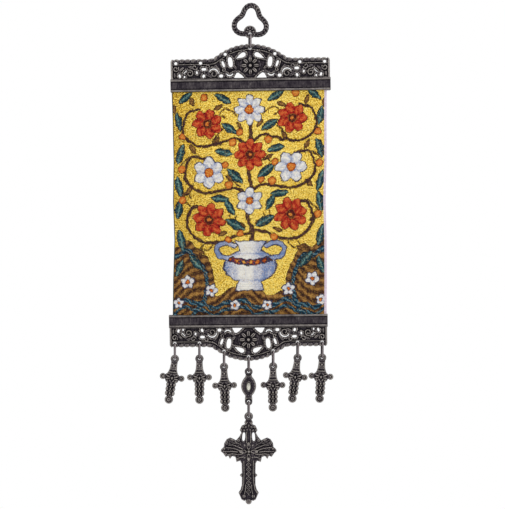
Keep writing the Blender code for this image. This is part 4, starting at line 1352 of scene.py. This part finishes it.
def buildCloth():
    # front and back sheets, joined by strips along the four edges
    s = cloth
    over = s["grip"] / s["drop"]
    U, V = np.meshgrid(np.linspace(0, 1, s["across"] + 1), np.linspace(-over, 1 + over, s["down"] + 1),
                       indexing="ij")
    x, y, z = clothPoint(U, V)
    half = s["thickness"] / 2
    edge = np.minimum(np.minimum(U, 1 - U) * 124, 50) / 0.9
    round_ = half * np.sqrt(np.clip(1 - (1 - np.clip(edge, 0, 1)) ** 2, 0.10, 1))
    front = np.stack([x, y - round_, z], -1).reshape(-1, 3)
    back = np.stack([x, y + round_, z], -1).reshape(-1, 3)
    nu, nv = s["across"], s["down"]
    number = np.arange((nu + 1) * (nv + 1)).reshape(nu + 1, nv + 1)
    a, b, c, d = number[:-1, :-1], number[1:, :-1], number[1:, 1:], number[:-1, 1:]
    shift = (nu + 1) * (nv + 1)
    faces = [np.stack([a, d, c, b], -1).reshape(-1, 4), np.stack([a, b, c, d], -1).reshape(-1, 4) + shift]
    for line in (number[0, :], number[-1, ::-1], number[::-1, 0], number[:, -1]):
        p, q = line[:-1], line[1:]
        faces.append(np.stack([p, p + shift, q + shift, q], -1))
    obj = addMesh("wovenCloth", np.concatenate([front, back]) * mm, np.concatenate(faces))
    mesh = obj.data
    layer = mesh.uv_layers.new(name="weave")
    corner = np.empty(len(mesh.loops), np.int32)
    mesh.loops.foreach_get("vertex_index", corner)
    uv = np.stack([U.ravel(), 1 - (V.ravel() + over) / (1 + 2 * over)], 1)
    layer.data.foreach_set("uv", np.concatenate([uv, uv])[corner].astype(np.float32).ravel())
    across, up = (U - 0.5) * s["flat"][0], (0.5 - V) * s["drop"]
    for name, field in designFields(across, up).items():
        addValues(obj, name, [field.ravel(), field.ravel()])
    addValues(obj, "reverse", np.repeat([0.0, 1.0], shift))
    print("cloth done,", len(mesh.polygons) * 2, "triangles")
    return obj


yarns = {
    "gold": ((0.15, 0.070, 0.009, 1), (0.92, 0.56, 0.036, 1), (1.0, 0.86, 0.26, 1)),
    "stem": ((0.016, 0.008, 0.012, 1), (0.055, 0.024, 0.022, 1), (0.16, 0.07, 0.04, 1)),
    "leaf": ((0.004, 0.016, 0.026, 1), (0.012, 0.052, 0.070, 1), (0.16, 0.30, 0.26, 1)),
    "red": ((0.10, 0.004, 0.006, 1), (0.42, 0.014, 0.010, 1), (0.66, 0.14, 0.035, 1)),
    "white": ((0.16, 0.23, 0.42, 1), (0.58, 0.58, 0.64, 1), (0.84, 0.81, 0.73, 1)),
    "orange": ((0.30, 0.035, 0.008, 1), (0.62, 0.14, 0.018, 1), (0.80, 0.38, 0.07, 1)),
    "heart": ((0.03, 0.004, 0.006, 1), (0.085, 0.008, 0.008, 1), (0.20, 0.03, 0.012, 1)),
    "earth": ((0.022, 0.009, 0.008, 1), (0.135, 0.055, 0.018, 1), (0.42, 0.22, 0.055, 1)),
    "blue": ((0.004, 0.016, 0.034, 1), (0.016, 0.075, 0.115, 1), (0.20, 0.36, 0.42, 1)),
}
contours = {"earth": (0.45, (0.040, 0.018, 0.012, 1)), "blue": (0.35, (0.010, 0.012, 0.020, 1)),
            "leaf": (0.60, (0.012, 0.012, 0.014, 1)), "red": (0.55, (0.060, 0.008, 0.010, 1)),
            "white": (0.85, (0.035, 0.035, 0.075, 1)), "heart": (0.45, (0.28, 0.07, 0.015, 1)),
            "orange": (0.50, (0.055, 0.014, 0.010, 1))}


def wovenCloth():
    # every stitch takes one yarn: the fields are read through a jitter of about half a stitch
    n = newMaterial("wovenCloth")
    number, mixed, painted = n.number, n.mixed, n.painted
    uv = n.add("ShaderNodeUVMap", uv_map="weave").outputs["UV"]
    scaled = n.vector("MULTIPLY", uv, (*cloth["stitches"], 1.0))
    stitch = n.vector("FLOOR", scaled)
    within = n.vector("FRACTION", scaled)

    def chanceOf(place):
        return n.add("ShaderNodeTexWhiteNoise", {"Vector": place}, noise_dimensions="2D").outputs["Value"]

    def tint(name, strength):
        # one yarn's three tones, chosen for each stitch
        dark, middle, light = yarns[name]
        return n.ramp(strength, (0.05, dark), (0.5, middle), (0.95, light))

    chance = chanceOf(stitch)
    chanceTwo = chanceOf(n.vector("ADD", stitch, (311.0, 173.0, 0.0)))
    rowChance = chanceOf(n.vector("MULTIPLY", stitch, (0.0, 1.0, 0.0)))
    glints = n.noise(scaled, 0.62, 2.0)
    drawn = painted("tone")
    jitter = number("MULTIPLY_ADD", chance, 0.7, -0.35)
    # gold glitters: its tone swings far from stitch to stitch and in small runs; the dull yarns swing less
    spread = number("MULTIPLY_ADD", chanceTwo, 0.62, -0.31)
    run = number("MULTIPLY_ADD", glints, 2.9, -1.45)
    goldTone = number("ADD", drawn, number("ADD", spread, run))
    tone = number("ADD", drawn, number("ADD", number("MULTIPLY", spread, 0.8), number("MULTIPLY", run, 0.42)))
    colour = tint("gold", goldTone)
    gilt = 1.0
    for name in ("earth", "blue", "stem", "leaf", "red", "white", "heart", "orange"):
        field = number("ADD", painted(name), jitter)
        if name in contours:
            width, dark = contours[name]
            outer = number("GREATER_THAN", field, -width)
            colour = mixed(outer, colour, dark)
            gilt = number("MULTIPLY", gilt, number("SUBTRACT", 1.0, outer))
        chosen = number("GREATER_THAN", field, 0.0)
        colour = mixed(chosen, colour, tint(name, tone))
        gilt = number("MULTIPLY", gilt, number("SUBTRACT", 1.0, chosen))
    # a stray gilt yarn shows through every so many stitches, everywhere
    stray = number("GREATER_THAN", chance, 0.94)
    colour = mixed(number("MULTIPLY", stray, 0.5), colour, (0.46, 0.28, 0.05, 1))
    # the two selvedges: pale lilac at the right, dark green at the left
    sideways = n.add("ShaderNodeSeparateXYZ", {"Vector": uv}).outputs["X"]
    lilac = mixed(chanceTwo, (0.62, 0.50, 0.60, 1), (0.80, 0.70, 0.78, 1))
    colour = mixed(number("GREATER_THAN", sideways, 0.9845), colour, lilac)
    colour = mixed(number("LESS_THAN", sideways, 0.0060), colour, (0.020, 0.030, 0.018, 1))
    gilt = number("MULTIPLY", gilt, number("LESS_THAN", sideways, 0.9845))
    # the reverse carries the floats of every yarn, so its picture is blurred and dull
    reverse = painted("reverse")
    floats = mixed(chance, (0.20, 0.12, 0.045, 1), (0.07, 0.05, 0.05, 1))
    colour = mixed(number("MULTIPLY", reverse, 0.72), colour, floats)
    # dark gaps between the yarns and a slow change of light along the rows
    parts = n.add("ShaderNodeSeparateXYZ", {"Vector": within})
    archX = number("SINE", number("MULTIPLY", parts.outputs["X"], math.pi))
    archY = number("SINE", number("MULTIPLY", parts.outputs["Y"], math.pi))
    relief = number("MULTIPLY", number("POWER", archX, 0.6), number("POWER", archY, 0.5))
    shading = {"Value": relief, "From Max": 0.8, "To Min": 0.45, "To Max": 1.0}
    shade = n.add("ShaderNodeMapRange", shading).outputs[0]
    grey = number("MULTIPLY", shade, number("MULTIPLY_ADD", rowChance, 0.2, 0.86))
    joined = n.add("ShaderNodeCombineXYZ", {0: grey, 1: grey, 2: grey}).outputs[0]
    product = n.vector("MULTIPLY", colour, joined)
    front = number("SUBTRACT", 1.0, number("MULTIPLY", reverse, 0.6))
    metallic = number("MULTIPLY", number("MULTIPLY", gilt, front), 0.55)
    rough = number("MULTIPLY_ADD", gilt, -0.38, 0.88)
    height = number("ADD", relief, number("MULTIPLY", chanceTwo, 0.35))
    return n.surface(product, rough, metallic, 0.12, (height, 0.6, 0.00018))


clothPiece = buildCloth()
dress(clothPiece, wovenCloth(), "cloth", "root")


# studio: a pale floor well below the banner, soft lamps, and the camera where the photo was taken from

studio = {
    "floorSize": 2.5,
    "floorLevel": -1.6,
    "world": 1.0,
    "camera": {"distance": 0.850, "elevation": 2.32, "aim": (0.00203, 0.0, -0.19696), "lens": 75.16},
    "lamps": (
        ("lampRight", (0.80, -0.80, 0.35), 0.30, 3.2),
        ("lampLeft", (-0.90, -0.80, 0.30), 0.35, 1.6),
        ("lampTop", (0.10, -0.35, 0.85), 0.30, 1.4),
    ),
}


def buildStudio():
    # a square floor, three lamps turned to the banner, and an even white world
    size, level = studio["floorSize"], studio["floorLevel"]
    corners = [(-size, -size, level), (size, -size, level), (size, size, level), (-size, size, level)]
    floor = addMesh("studioFloor", corners, [(0, 1, 2, 3)])
    n = newMaterial("paleFloor")
    cloudy = n.noise(n.add("ShaderNodeTexCoord").outputs["Object"], 3.0, 3.0)
    colour = n.ramp(cloudy, (0.0, (0.955, 0.955, 0.96, 1)), (1.0, (0.97, 0.97, 0.97, 1)))
    floor.data.materials.append(n.surface(colour, 1.0, 0.0, 0.0))
    lamps = []
    for name, position, width, power in studio["lamps"]:
        data = bpy.data.lights.new(name, "AREA")
        data.size, data.energy = width, power
        lamp = bpy.data.objects.new(name, data)
        lamp.location = position
        aim = np.array(studio["camera"]["aim"]) - position
        lamp.rotation_euler = (math.atan2(math.hypot(aim[0], aim[1]), -aim[2]), 0, math.atan2(-aim[0], aim[1]))
        bpy.context.scene.collection.objects.link(lamp)
        lamps.append(lamp)
    world = bpy.data.worlds.new("studioWorld")
    world.use_nodes = True
    background = world.node_tree.nodes["Background"]
    background.inputs["Color"].default_value = (1, 1, 1, 1)
    background.inputs["Strength"].default_value = studio["world"]
    bpy.context.scene.world = world
    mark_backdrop(floor, *lamps)


def buildCamera():
    # as far from its aim as distance says, raised by elevation and looking level across the banner
    s = studio["camera"]
    rise = math.radians(s["elevation"])
    data = bpy.data.cameras.new("viewCamera")
    data.lens, data.sensor_width, data.sensor_fit = s["lens"], 36.0, "HORIZONTAL"
    data.clip_start, data.clip_end = 0.01, 50.0
    data.dof.use_dof = False
    camera = bpy.data.objects.new("viewCamera", data)
    x, y, z = s["aim"]
    camera.location = (x, y - s["distance"] * math.cos(rise), z + s["distance"] * math.sin(rise))
    camera.rotation_euler = (math.pi / 2 - rise, 0, 0)
    bpy.context.scene.collection.objects.link(camera)
    bpy.context.scene.camera = camera


buildStudio()
buildCamera()
bpy.context.scene.view_settings.view_transform = "Standard"
print("studio done")


def corners(box):
    # a box's two corners as plain numbers
    return [[float(value) for value in corner] for corner in box]


{"cad": corners(cadBox), "visual": corners(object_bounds())}
